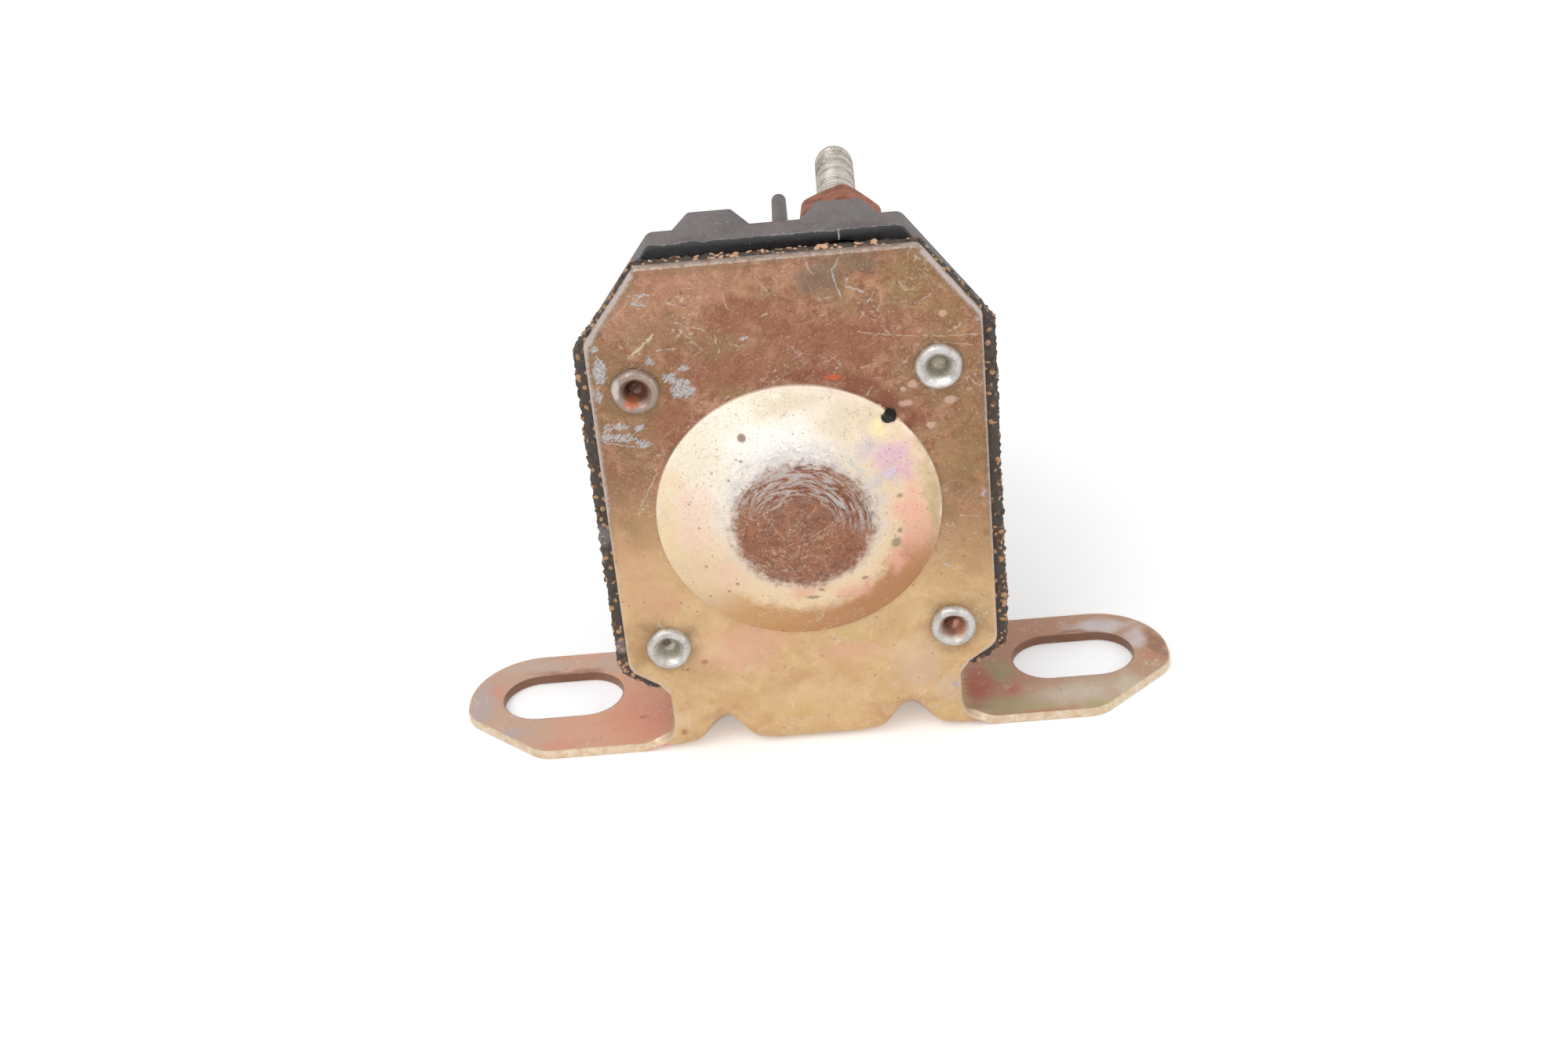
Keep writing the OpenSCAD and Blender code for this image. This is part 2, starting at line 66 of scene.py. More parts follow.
# Pieces are drawn in millimetres about the plunger axis, from the front face of the plate
SLOT_Y = 13.0
AXIS_H = 34.0
BODY = "solenoid_body"
RIVET_X, RIVET_Z = 17.5, 17.85
COIL_X, COIL_Z = 7.5, 28.4
SLOT_X, SLOT_LONG, SLOT_WIDE = 33.35, 15.6, 9.5
SHEET_HOLE, GASKET_HOLE, GASKET_OPENING = 2.15, 2.2, 19.2


def to_row(points):
    """Millimetres about the plunger axis to metres in the part's own frame"""
    return (np.asarray(points, float) + (0.0, -SLOT_Y, AXIS_H)) / 1000.0


def tint(red, green, blue):
    """Colour written as it looks on a screen, 0 to 255, as the shader's linear values"""
    def linear(value):
        value /= 255.0
        return value / 12.92 if value <= 0.04045 else ((value + 0.055) / 1.055) ** 2.4
    return (linear(red), linear(green), linear(blue))


# Settings


class PlateSettings(bpy.types.PropertyGroup):
    sheet: FloatProperty(
        name="Sheet thickness", description="Thickness of the cover plate's steel", default=0.0013,
        unit="LENGTH")
    bend: FloatProperty(
        name="Bend radius", description="Inside radius of the bend into the flange",
        default=0.0015, unit="LENGTH")
    dome_radius: FloatProperty(
        name="Dome radius", description="Radius of the dome at its foot", default=0.01705,
        unit="LENGTH")
    dome_height: FloatProperty(
        name="Dome height", description="Height of the dome in front of the plate", default=0.004,
        unit="LENGTH")
    gusset_deep: FloatProperty(
        name="Gusset depth", description="Depth of the gussets, from the sharp corner of the bend",
        default=0.0044, unit="LENGTH")
    gusset_half: FloatProperty(
        name="Gusset half width", description="Half width of the gussets at their flared edges",
        default=0.0049, unit="LENGTH")
    gusset_tilt: FloatProperty(
        name="Gusset slope", description="Slope of the gussets' ridges, down towards the back",
        default=math.radians(37), subtype="ANGLE")
    flange_width: FloatProperty(
        name="Flange width", description="Width over the two ears",
        default=PLATE_HIGH.x - PLATE_LOW.x, unit="LENGTH")
    edge_radius: FloatProperty(
        name="Edge radius", description="Rounding of the stamped edge in front", default=0.00028,
        unit="LENGTH")
    plating: FloatVectorProperty(
        name="Plating", description="Colour of the yellow plating where it is sound",
        default=tint(214, 180, 134), subtype="COLOR")
    tarnish: FloatVectorProperty(
        name="Tarnish", description="Colour of the browned upper part", default=tint(172, 124, 94),
        subtype="COLOR")
    # the material lightens this flank colour towards the upper left as a painted highlight
    dome_colour: FloatVectorProperty(
        name="Dome", description="Colour of the dome's bright flank", default=tint(234, 208, 172),
        subtype="COLOR")
    rust: FloatVectorProperty(
        name="Rust", description="Colour of the rusted cap", default=tint(160, 98, 64),
        subtype="COLOR")
    ear_left: FloatVectorProperty(
        name="Left ear", description="Colour of the left ear beside the neck",
        default=tint(222, 164, 136), subtype="COLOR")
    ear_right: FloatVectorProperty(
        name="Right ear", description="Colour of the right ear beside the neck",
        default=tint(180, 130, 106), subtype="COLOR")


class GasketSettings(bpy.types.PropertyGroup):
    proud: FloatProperty(
        name="Standing out", description="How far the gasket stands out past the plate",
        default=0.0014, unit="LENGTH")
    ragged: FloatProperty(
        name="Ragged edge", description="How far the cut edge wanders", default=0.00022,
        unit="LENGTH")
    grain_small: FloatProperty(
        name="Smallest granule", description="Radius of the smallest cork granules",
        default=0.00014, unit="LENGTH")
    grain_large: FloatProperty(
        name="Largest granule", description="Radius of the largest cork granules", default=0.00046,
        unit="LENGTH")
    density: FloatProperty(
        name="Granules per square metre", description="How thickly granules show on the cut edge",
        default=1.5e6)
    seed: IntProperty(name="Seed", description="Seed of the granules' places", default=7)
    binder: FloatVectorProperty(
        name="Binder", description="Colour of the dark binder", default=tint(64, 57, 52),
        subtype="COLOR")
    cork: FloatVectorProperty(
        name="Cork", description="Colour of the cork granules", default=tint(206, 164, 124),
        subtype="COLOR")


class HousingSettings(bpy.types.PropertyGroup):
    edge_radius: FloatProperty(
        name="Edge radius", description="Rounding of the moulding's edges", default=0.00025,
        unit="LENGTH")
    # lit and shaded copies of one moulding: the grey of the outer faces is dust with painted top
    # light, the near black strip is painted shade
    lit_and_dusty: FloatVectorProperty(
        name="Dusty moulding", description="Colour of the dull outer faces",
        default=tint(114, 107, 105), subtype="COLOR")
    glossy: FloatVectorProperty(
        name="Fresh moulding", description="Colour of the glossy strip above the gasket",
        default=tint(27, 26, 29), subtype="COLOR")


class HardwareSettings(bpy.types.PropertyGroup):
    main_pitch: FloatProperty(
        name="Main thread pitch", description="Pitch of the main studs' thread", default=0.001058,
        unit="LENGTH")
    coil_pitch: FloatProperty(
        name="Coil thread pitch", description="Pitch of the coil stud's thread", default=0.000794,
        unit="LENGTH")
    rivet_across: FloatProperty(
        name="Rivets across", description="Distance between rivets across the plate",
        default=0.035, unit="LENGTH")
    rivet_up: FloatProperty(
        name="Rivets up", description="Distance between rivets up the plate", default=0.0357,
        unit="LENGTH")
    main_across: FloatProperty(
        name="Main studs across", description="Distance between the main studs", default=0.023,
        unit="LENGTH")
    seed: IntProperty(name="Seed", description="Seed of the rivets' turns", default=3)
    copper: FloatVectorProperty(
        name="Copper", description="Colour of the main studs and the contact disc",
        default=tint(196, 132, 96), subtype="COLOR")
    zinc: FloatVectorProperty(
        name="Zinc", description="Colour of the coil stud and the washers",
        default=tint(196, 192, 184), subtype="COLOR")
    nut_rust: FloatVectorProperty(
        name="Rusted nut", description="Colour of the coil stud's nut", default=tint(158, 98, 72),
        subtype="COLOR")
    brass: FloatVectorProperty(
        name="Brass", description="Colour of the main nuts and the guide tube",
        default=tint(194, 166, 108), subtype="COLOR")
    steel: FloatVectorProperty(
        name="Steel", description="Colour of the unplated inner steel",
        default=tint(176, 178, 180), subtype="COLOR")


class StageSettings(bpy.types.PropertyGroup):
    floor: FloatVectorProperty(
        name="Floor", description="Colour of the floor", default=(0.93, 0.93, 0.93),
        subtype="COLOR")
    key_power: FloatProperty(
        name="Key lamp", description="Power of the large lamp above and to the left", default=3.2,
        unit="POWER")
    fill_power: FloatProperty(
        name="Fill lamp", description="Power of the lamp to the right", default=1.1, unit="POWER")
    sky: FloatProperty(
        name="Sky", description="Strength of the world's light on the object", default=0.62)


# Mesh helpers


def make_piece(name, points, faces, nodes, body=BODY, material=None, angle=32.0):
    """Mesh object at the origin from points in millimetres, in place of its nodes on a body"""
    mesh = bpy.data.meshes.new(name)
    mesh.from_pydata([tuple(p) for p in to_row(points)], [], faces)
    return adopt(mesh, name, nodes, body, material, angle)


def turn_outward(mesh):
    """Faces turned to look out of the solid"""
    bm = bmesh.new()
    bm.from_mesh(mesh)
    bmesh.ops.recalc_face_normals(bm, faces=bm.faces)
    bm.to_mesh(mesh)
    bm.free()


def adopt(mesh, name, nodes, body, material, angle):
    """Piece of a finished mesh, in place of its nodes on a body"""
    turn_outward(mesh)
    smooth_by_angle(mesh, angle)
    piece = bpy.data.objects.new(name, mesh)
    bpy.context.scene.collection.objects.link(piece)
    if material is not None:
        mesh.materials.clear()
        mesh.materials.append(material)
    settle(piece, nodes, body)
    return piece


def settle(piece, nodes, body=BODY):
    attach(piece, body)
    if nodes:
        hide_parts(*nodes)


def smooth_by_angle(mesh, angle):
    """Smooth shading, with the edges over that many degrees kept sharp"""
    mesh.shade_smooth()
    mesh.set_sharp_from_angle(angle=math.radians(angle))


def arc(a, b, c, radius, count=6):
    """Points of the corner b, between its neighbours a and c, rounded to a radius"""
    a, b, c = (np.array(p, float) for p in (a, b, c))
    u, w = (a - b) / np.linalg.norm(a - b), (c - b) / np.linalg.norm(c - b)
    half = math.acos(max(-1.0, min(1.0, float(u @ w)))) / 2
    inward = (u + w) / np.linalg.norm(u + w)
    reach, middle = radius / math.tan(half), b + inward * radius / math.sin(half)
    p, q = b + u * reach, b + w * reach
    made = []
    for i in range(count + 1):
        s = p + (q - p) * i / count
        made.append(middle + (s - middle) / np.linalg.norm(s - middle) * radius)
    return made


def mirrored(half):
    """Closed outline from its right half"""
    return list(half) + [np.array([-p[0], p[1]]) for p in reversed(half)]


def resampled(outline, step):
    """Closed outline with points at most a step apart, its own corners kept"""
    made = []
    for i, p in enumerate(outline):
        q = outline[(i + 1) % len(outline)]
        length = float(np.linalg.norm(np.array(q) - np.array(p)))
        if length < 1e-6:
            continue
        count = max(1, math.ceil(length / step))
        for k in range(count):
            made.append(np.array(p) + (np.array(q) - np.array(p)) * k / count)
    return np.array(made)


def circle_points(cx, cy, radius, count):
    turn = np.linspace(0, 2 * math.pi, count, endpoint=False)
    return np.stack([cx + radius * np.cos(turn), cy + radius * np.sin(turn)], 1)


def inside(points, loop):
    """Which points lie inside a closed loop"""
    x, y = points[:, 0][:, None], points[:, 1][:, None]
    ax, ay = loop[:, 0][None], loop[:, 1][None]
    bx, by = np.roll(loop[:, 0], -1)[None], np.roll(loop[:, 1], -1)[None]
    rise = np.where(by == ay, 1e-12, by - ay)
    crossing = ((ay > y) != (by > y)) & (x < (bx - ax) * (y - ay) / rise + ax)
    return crossing.sum(1) % 2 == 1


def distance_to(points, loop):
    """Distance of each point to a closed loop"""
    a, b = loop, np.roll(loop, -1, 0)
    best = np.full(len(points), 1e9)
    for p, q in zip(a, b):
        d = q - p
        t = np.clip(((points - p) @ d) / max(float(d @ d), 1e-12), 0, 1)
        best = np.minimum(best, np.linalg.norm(points - p - t[:, None] * d, axis=1))
    return best


def inset(loop, amount):
    """Loop moved into its own inside; a negative amount moves it out"""
    before, after = np.roll(loop, 1, 0), np.roll(loop, -1, 0)
    along = (after - before) / np.maximum(np.linalg.norm(after - before, axis=1), 1e-9)[:, None]
    area = float(np.sum(loop[:, 0] * after[:, 1] - after[:, 0] * loop[:, 1]))
    side = 1.0 if area > 0 else -1.0
    return loop + side * amount * np.stack([-along[:, 1], along[:, 0]], 1)


def sheet_triangles(loops, fill):
    """Constrained triangles between an outer loop and its holes, through the fill points"""
    points = np.concatenate(list(loops) + [fill])
    edges, start = [], 0
    for loop in loops:
        n = len(loop)
        edges += [(start + i, start + (i + 1) % n) for i in range(n)]
        start += n
    _, _, faces, origin, _, _ = delaunay_2d_cdt([Vector(p) for p in points], edges, [], 0, 1e-6)
    source = [o[0] if o else -1 for o in origin]
    if min(source) < 0:
        raise RuntimeError("an outline of the sheet crosses itself")
    middles = np.array([np.mean([points[source[i]] for i in f], axis=0) for f in faces])
    keep = inside(middles, loops[0])
    for hole in loops[1:]:
        keep &= ~inside(middles, hole)
    return points, [[source[i] for i in f] for f, k in zip(faces, keep) if k]


def lathe(profile, count, centre=(0.0, 0.0)):
    """Closed turned mesh about a line along Y, from rows of radius and depth, ends on the axis"""
    points, faces = [], []
    rows = []
    for radius, depth in profile:
        if radius < 1e-6:
            rows.append([len(points)])
            points.append((centre[0], depth, centre[1]))
        else:
            rows.append(list(range(len(points), len(points) + count)))
            for k in range(count):
                a = 2 * math.pi * k / count
                points.append(
                    (centre[0] + radius * math.cos(a), depth, centre[1] + radius * math.sin(a)))
    for low, high in zip(rows, rows[1:]):
        for k in range(count):
            j = (k + 1) % count
            if len(low) == 1 and len(high) > 1:
                faces.append((low[0], high[j], high[k]))
            elif len(high) == 1 and len(low) > 1:
                faces.append((low[k], low[j], high[0]))
            elif len(low) > 1:
                faces.append((low[k], low[j], high[j], high[k]))
    return points, faces


def softened_copy(node, radius, chosen, segments=2):
    """Copy of a node's mesh, merged, with the chosen convex edges rounded"""
    bm = bmesh.new()
    bm.from_mesh(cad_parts[node].data)
    bmesh.ops.remove_doubles(bm, verts=bm.verts, dist=2e-6)
    bmesh.ops.dissolve_limit(bm, angle_limit=math.radians(0.5), verts=bm.verts, edges=bm.edges)
    edges = [
        e for e in bm.edges
        if e.is_manifold and e.is_convex and e.calc_face_angle() > math.radians(28)
        and all(chosen(to_mm(v.co)) for v in e.verts)
    ]
    bmesh.ops.bevel(
        bm, geom=edges, offset=radius, segments=segments, profile=0.5, affect="EDGES",
        clamp_overlap=True)
    bmesh.ops.triangulate(bm, faces=[f for f in bm.faces if len(f.verts) > 4])
    mesh = bpy.data.meshes.new(node + "_soft")
    bm.to_mesh(mesh)
    bm.free()
    return mesh


def to_mm(co):
    return np.array(co, float) * 1000.0 - (0.0, -SLOT_Y, AXIS_H)


# Node helpers


class Wire:
    """Number that a node puts out, with which sums are written as usual"""

    def __init__(self, tree, socket):
        self.tree = tree
        self.socket = socket

    def __add__(self, other):
        return self.tree.math("ADD", self, other)

    def __sub__(self, other):
        return self.tree.math("SUBTRACT", self, other)

    def __rsub__(self, other):
        return self.tree.math("SUBTRACT", other, self)

    def __mul__(self, other):
        return self.tree.math("MULTIPLY", self, other)

    def __truediv__(self, other):
        return self.tree.math("DIVIDE", self, other)

    def __rtruediv__(self, other):
        return self.tree.math("DIVIDE", other, self)

    def __pow__(self, other):
        return self.tree.math("POWER", self, other)

    def __gt__(self, other):
        return self.tree.math("GREATER_THAN", self, other)

    def __lt__(self, other):
        return self.tree.math("LESS_THAN", self, other)

    def __abs__(self):
        return self.tree.math("ABSOLUTE", self)

    __radd__ = __add__
    __rmul__ = __mul__


class Tree:
    """Short way to add nodes to a tree and link them"""

    def __init__(self, tree):
        self.tree = tree

    def add(self, kind, inputs=None, **settings):
        """New node with its inputs, by name or number, and its settings"""
        node = self.tree.nodes.new(kind)
        for key, value in settings.items():
            setattr(node, key, value)
        for key, value in (inputs or {}).items():
            self.put(node.inputs[key], value)
        return node

    def put(self, socket, value):
        """Link a wire, a socket or a node's first output to a socket, or set its value"""
        if isinstance(value, Wire):
            value = value.socket
        if isinstance(value, bpy.types.Node):
            value = value.outputs[0]
        if isinstance(value, bpy.types.NodeSocket):
            self.tree.links.new(value, socket)
        else:
            socket.default_value = value

    def math(self, operation, a, b=0.0, clamp=False):
        node = self.add("ShaderNodeMath", {0: a, 1: b}, operation=operation, use_clamp=clamp)
        return Wire(self, node.outputs[0])

    def most(self, *values):
        """The largest of the values"""
        made = values[0]
        for value in values[1:]:
            made = self.math("MAXIMUM", made, value)
        return made

    def vector(self, operation, a, b=(0.0, 0.0, 0.0), scale=None):
        node = self.add("ShaderNodeVectorMath", {0: a, 1: b}, operation=operation)
        if scale is not None:
            self.put(node.inputs["Scale"], scale)
        number = operation in ("LENGTH", "DOT_PRODUCT")
        return Wire(self, node.outputs["Value" if number else "Vector"])

    def split(self, vector):
        parts = self.add("ShaderNodeSeparateXYZ", {0: vector}).outputs
        return [Wire(self, part) for part in parts]

    def join(self, x, y, z):
        return Wire(self, self.add("ShaderNodeCombineXYZ", {0: x, 1: y, 2: z}).outputs[0])

    def ramp(self, value, low, high):
        """0 below low, 1 above high, smooth between; low may be above high"""
        node = self.add(
            "ShaderNodeMapRange", {"Value": value, "From Min": low, "From Max": high},
            interpolation_type="SMOOTHSTEP")
        return Wire(self, node.outputs["Result"])

    def noise(self, vector, scale, detail=2.0, rough=0.5, warp=0.0, colour=False):
        node = self.add("ShaderNodeTexNoise", {
            "Vector": vector, "Scale": scale, "Detail": detail, "Roughness": rough,
            "Distortion": warp})
        return Wire(self, node.outputs["Color" if colour else "Fac"])

    def mix(self, amount, a, b):
        """Colour b over colour a by the amount"""
        node = self.add("ShaderNodeMix", data_type="RGBA")
        self.put(node.inputs["Factor"], amount)
        self.put(node.inputs["A"], rgba(a))
        self.put(node.inputs["B"], rgba(b))
        return Wire(self, node.outputs["Result"])

    def attribute(self, name, output="Fac"):
        """Value stored on the mesh's points, as a material reads it"""
        node = self.add("ShaderNodeAttribute", attribute_name=name)
        return Wire(self, node.outputs[output])


def rgba(value):
    if isinstance(value, (tuple, list)) or type(value).__name__ in ("Color", "bpy_prop_array"):
        return (*tuple(value)[:3], 1.0)
    return value


def new_tree(name, kind, inputs, outputs):
    """Empty node group with named sockets; gives its helper, its inputs and its output node"""
    tree = bpy.data.node_groups.new(name, kind)
    for label, socket, default in inputs:
        made = tree.interface.new_socket(name=label, in_out="INPUT", socket_type=socket)
        if default is not None:
            made.default_value = default
    for label, socket in outputs:
        tree.interface.new_socket(name=label, in_out="OUTPUT", socket_type=socket)
    nodes = Tree(tree)
    given = {socket.name: Wire(nodes, socket) for socket in nodes.add("NodeGroupInput").outputs}
    return nodes, given, nodes.add("NodeGroupOutput")


def solid_tree(name, inputs):
    """Start of a geometry tree, with geometry and a material among its inputs"""
    inputs = [("Geometry", SOLID, None), *inputs, ("Material", PAINT, None)]
    return new_tree(name, "GeometryNodeTree", inputs, [("Geometry", SOLID)])


def mask_tree(name, inputs):
    """Start of a shader group that gives a mask for a place"""
    return new_tree(name, "ShaderNodeTree", [("Place", VECTOR, None), *inputs], [("Mask", FLOAT)])


def ended(nodes, given, out, geometry):
    """Geometry tree with its end: real geometry, in the material that it is given"""
    real = nodes.add("GeometryNodeRealizeInstances", {"Geometry": geometry})
    painted = nodes.add("GeometryNodeSetMaterial", {
        "Geometry": real, "Material": given["Material"]})
    nodes.put(out.inputs[0], painted)
    return nodes.tree


def run_tree(mesh, tree, values, name):
    """Plain mesh made by a geometry node tree from a starting mesh"""
    carrier = bpy.data.objects.new(name + "_carrier", mesh)
    bpy.context.scene.collection.objects.link(carrier)
    modifier = carrier.modifiers.new("Nodes", "NODES")
    modifier.node_group = tree
    for item in tree.interface.items_tree:
        if item.item_type == "SOCKET" and item.in_out == "INPUT" and item.name in values:
            modifier[item.identifier] = values[item.name]
    depsgraph = bpy.context.evaluated_depsgraph_get()
    made = bpy.data.meshes.new_from_object(
        carrier.evaluated_get(depsgraph), preserve_all_data_layers=True, depsgraph=depsgraph)
    carrier.modifiers.remove(modifier)
    bpy.data.objects.remove(carrier)
    if len(made.polygons) == 0:
        raise RuntimeError(name + ": the node tree made no faces")
    made.name = name
    return made


FLOAT, VECTOR, SOLID, WHOLE, PAINT = (
    "NodeSocketFloat", "NodeSocketVector", "NodeSocketGeometry", "NodeSocketInt",
    "NodeSocketMaterial",
)


def thread_tree():
    """Threaded rod along Y with closed ends and a rounded or chamfered tip"""
    nodes, given, out = solid_tree("Threaded rod", [
        ("Radius", FLOAT, 0.004), ("Depth", FLOAT, 0.0004), ("Pitch", FLOAT, 0.001),
        ("Start", FLOAT, 0.0), ("End", FLOAT, 0.02), ("Tip", FLOAT, 0.001),
        ("Tip radius", FLOAT, 0.0), ("Roundness", FLOAT, 2.0), ("Rows", WHOLE, 100),
        ("Place", VECTOR, (0, 0, 0)),
    ])
    grid = nodes.add("GeometryNodeMeshGrid", {
        "Size X": 1.0, "Size Y": 1.0, "Vertices X": 49, "Vertices Y": given["Rows"]})
    x, y, _ = nodes.split(nodes.add("GeometryNodeInputPosition"))
    u = x + 0.5
    v = y + 0.5
    length = given["End"] - given["Start"]
    depth = v * length + given["Start"]
    phase = nodes.math("FRACT", depth / given["Pitch"] - u)
    wave = abs(phase * 2.0 - 1.0)
    cut = nodes.ramp(wave, 0.12, 0.9) * given["Depth"]
    thread = given["Radius"] - cut
    into = nodes.math("DIVIDE", depth - (given["End"] - given["Tip"]), given["Tip"], clamp=True)
    fall = (1.0 - into ** given["Roundness"]) ** (1.0 / given["Roundness"])
    tip = fall * (given["Radius"] - given["Tip radius"]) + given["Tip radius"]
    open_end = (v > 0.0001) * (v < 0.9999)
    radius = nodes.math("MINIMUM", thread, tip) * open_end
    turn = u * (2 * math.pi)
    place = nodes.vector("ADD", given["Place"], nodes.join(
        radius * nodes.math("COSINE", turn), depth, radius * nodes.math("SINE", turn)))
    moved = nodes.add("GeometryNodeSetPosition", {
        "Geometry": grid.outputs["Mesh"], "Position": place})
    closed = nodes.add("GeometryNodeMergeByDistance", {"Geometry": moved, "Distance": 1e-6})
    headed = nodes.add("GeometryNodeJoinGeometry")
    nodes.put(headed.inputs[0], closed)
    nodes.put(headed.inputs[0], given["Geometry"])
    return ended(nodes, given, out, headed)


def spring_tree():
    """Open coil spring along Y"""
    nodes, given, out = solid_tree("Coil spring", [
        ("Radius", FLOAT, 0.0035), ("Wire", FLOAT, 0.0003), ("Turns", FLOAT, 6.0),
        ("Start", FLOAT, 0.0), ("End", FLOAT, 0.01), ("Height", FLOAT, 0.034),
    ])
    reach = given["End"] - given["Start"] - given["Wire"] * 2.0
    spiral = nodes.add("GeometryNodeCurveSpiral", {
        "Resolution": 40, "Rotations": given["Turns"], "Start Radius": given["Radius"],
        "End Radius": given["Radius"], "Height": reach})
    profile = nodes.add("GeometryNodeCurvePrimitiveCircle", {
        "Resolution": 12, "Radius": given["Wire"]})
    wire = nodes.add("GeometryNodeCurveToMesh", {
        "Curve": spiral.outputs[0], "Profile Curve": profile.outputs[0], "Fill Caps": True})
    place = nodes.join(0.0, given["Start"] + (given["Wire"] + reach), given["Height"])
    laid = nodes.add("GeometryNodeTransform", {
        "Geometry": wire, "Translation": place, "Rotation": (math.pi / 2, 0.0, 0.0)})
    return ended(nodes, given, out, laid)


def copies_tree():
    """Copies of a fastener on the corners of a rectangle or the ends of a line"""
    nodes, given, out = solid_tree("Fastener copies", [
        ("Across", FLOAT, 0.035), ("Up", FLOAT, 0.0357), ("Rows", WHOLE, 2),
        ("Height", FLOAT, 0.034), ("Turn", FLOAT, 0.0), ("Random turn", FLOAT, 0.0),
        ("Seed", WHOLE, 0),
    ])
    grid = nodes.add("GeometryNodeMeshGrid", {
        "Size X": given["Across"], "Size Y": given["Up"], "Vertices X": 2,
        "Vertices Y": given["Rows"]})
    points = nodes.add("GeometryNodeMeshToPoints", {"Mesh": grid.outputs["Mesh"]})
    x, y, _ = nodes.split(nodes.add("GeometryNodeInputPosition"))
    placed = nodes.add("GeometryNodeSetPosition", {
        "Geometry": points.outputs[0], "Position": nodes.join(x, 0.0, y + given["Height"])})
    side = nodes.math("SIGN", x)
    chance = nodes.add("FunctionNodeRandomValue", data_type="FLOAT")
    nodes.put(chance.inputs[2], given["Random turn"] * -1.0)
    nodes.put(chance.inputs[3], given["Random turn"])
    nodes.put(chance.inputs["Seed"], given["Seed"])
    turn = side * given["Turn"] + chance.outputs[1]
    rotation = nodes.add("FunctionNodeEulerToRotation", {0: nodes.join(0.0, turn, 0.0)})
    copies = nodes.add("GeometryNodeInstanceOnPoints", {
        "Points": placed, "Instance": given["Geometry"], "Rotation": rotation})
    return ended(nodes, given, out, copies)


def granule_tree():
    """Cork granules standing in the cut edge of the gasket"""
    nodes, given, out = solid_tree("Cork granules", [
        ("Density", FLOAT, 1e6), ("Smallest", FLOAT, 0.0001), ("Largest", FLOAT, 0.0004),
        ("Seed", WHOLE, 0),
    ])
    shown = nodes.add("GeometryNodeInputNamedAttribute", {"Name": "exposed"}, data_type="FLOAT")
    where = Wire(nodes, shown.outputs[0]) > 0.5
    spread = nodes.add("GeometryNodeDistributePointsOnFaces", {
        "Mesh": given["Geometry"], "Selection": where, "Density": given["Density"],
        "Seed": given["Seed"]})
    grain = nodes.add("GeometryNodeMeshIcoSphere", {"Radius": 1.0, "Subdivisions": 2})
    size = nodes.add("FunctionNodeRandomValue", data_type="FLOAT_VECTOR")
    thin = given["Smallest"] * 0.7
    nodes.put(size.inputs[0], nodes.join(given["Smallest"], given["Smallest"], thin))
    nodes.put(size.inputs[1], nodes.join(given["Largest"], given["Largest"], given["Smallest"]))
    nodes.put(size.inputs["Seed"], given["Seed"])
    spin = nodes.add("FunctionNodeRandomValue", data_type="FLOAT")
    nodes.put(spin.inputs[3], 2 * math.pi)
    nodes.put(spin.inputs["Seed"], given["Seed"] + 1.0)
    about = nodes.add("FunctionNodeEulerToRotation", {0: nodes.join(0.0, 0.0, spin.outputs[1])})
    turned = nodes.add(
        "FunctionNodeRotateRotation", {0: spread.outputs["Rotation"], 1: about},
        rotation_space="LOCAL")
    copies = nodes.add("GeometryNodeInstanceOnPoints", {
        "Points": spread.outputs["Points"], "Instance": grain.outputs["Mesh"],
        "Scale": size.outputs[0], "Rotation": turned.outputs[0]})
    shade = nodes.add("FunctionNodeRandomValue", data_type="FLOAT")
    nodes.put(shade.inputs[2], 0.05)
    nodes.put(shade.inputs["Seed"], given["Seed"] + 2.0)
    grains = {"Geometry": copies, "Name": "grain", "Value": shade.outputs[1]}
    marked = nodes.add(
        "GeometryNodeStoreNamedAttribute", grains, data_type="FLOAT", domain="INSTANCE")
    both = nodes.add("GeometryNodeJoinGeometry")
    nodes.put(both.inputs[0], marked)
    nodes.put(both.inputs[0], given["Geometry"])
    return ended(nodes, given, out, both)


# The pressed sheet's sizes

PLATE_TOP = 33.0
PLATE_TOP_HALF = 16.0
PLATE_HALF = 22.8
PLATE_SHOULDER = 23.9
PLATE_LOW_CORNER = -21.1
LOW_CORNER_R = 2.4
NECK_TOP = -23.4
NECK_HALF = 18.1
EAR_FILLET = 4.6
EAR_FRONT = 0.8
EAR_BACK = 22.4
GUSSET_X = 11.7
GUSSET_FOOT = 0.9
GUSSET_BLEND = 1.2
DOME_STEP = 0.3
DOME_POWER = 2.7
DOME_WALL = 0.9
BLOB = (11.4, 12.15)
FLAT_STEP = 0.62
GUSSET_STEP = 0.4
BLOB_STEP = 0.2


def smooth(value):
    value = np.clip(value, 0, 1)
    return value * value * (3 - 2 * value)


def bend_and_shift(plate):
    """Outer radius of the bend, and how far down the flat pattern a flange depth of 0 is"""
    bend = (plate.sheet + plate.bend) * 1000
    return bend, PLATE_TOP + AXIS_H - bend + bend * math.pi / 2 - bend


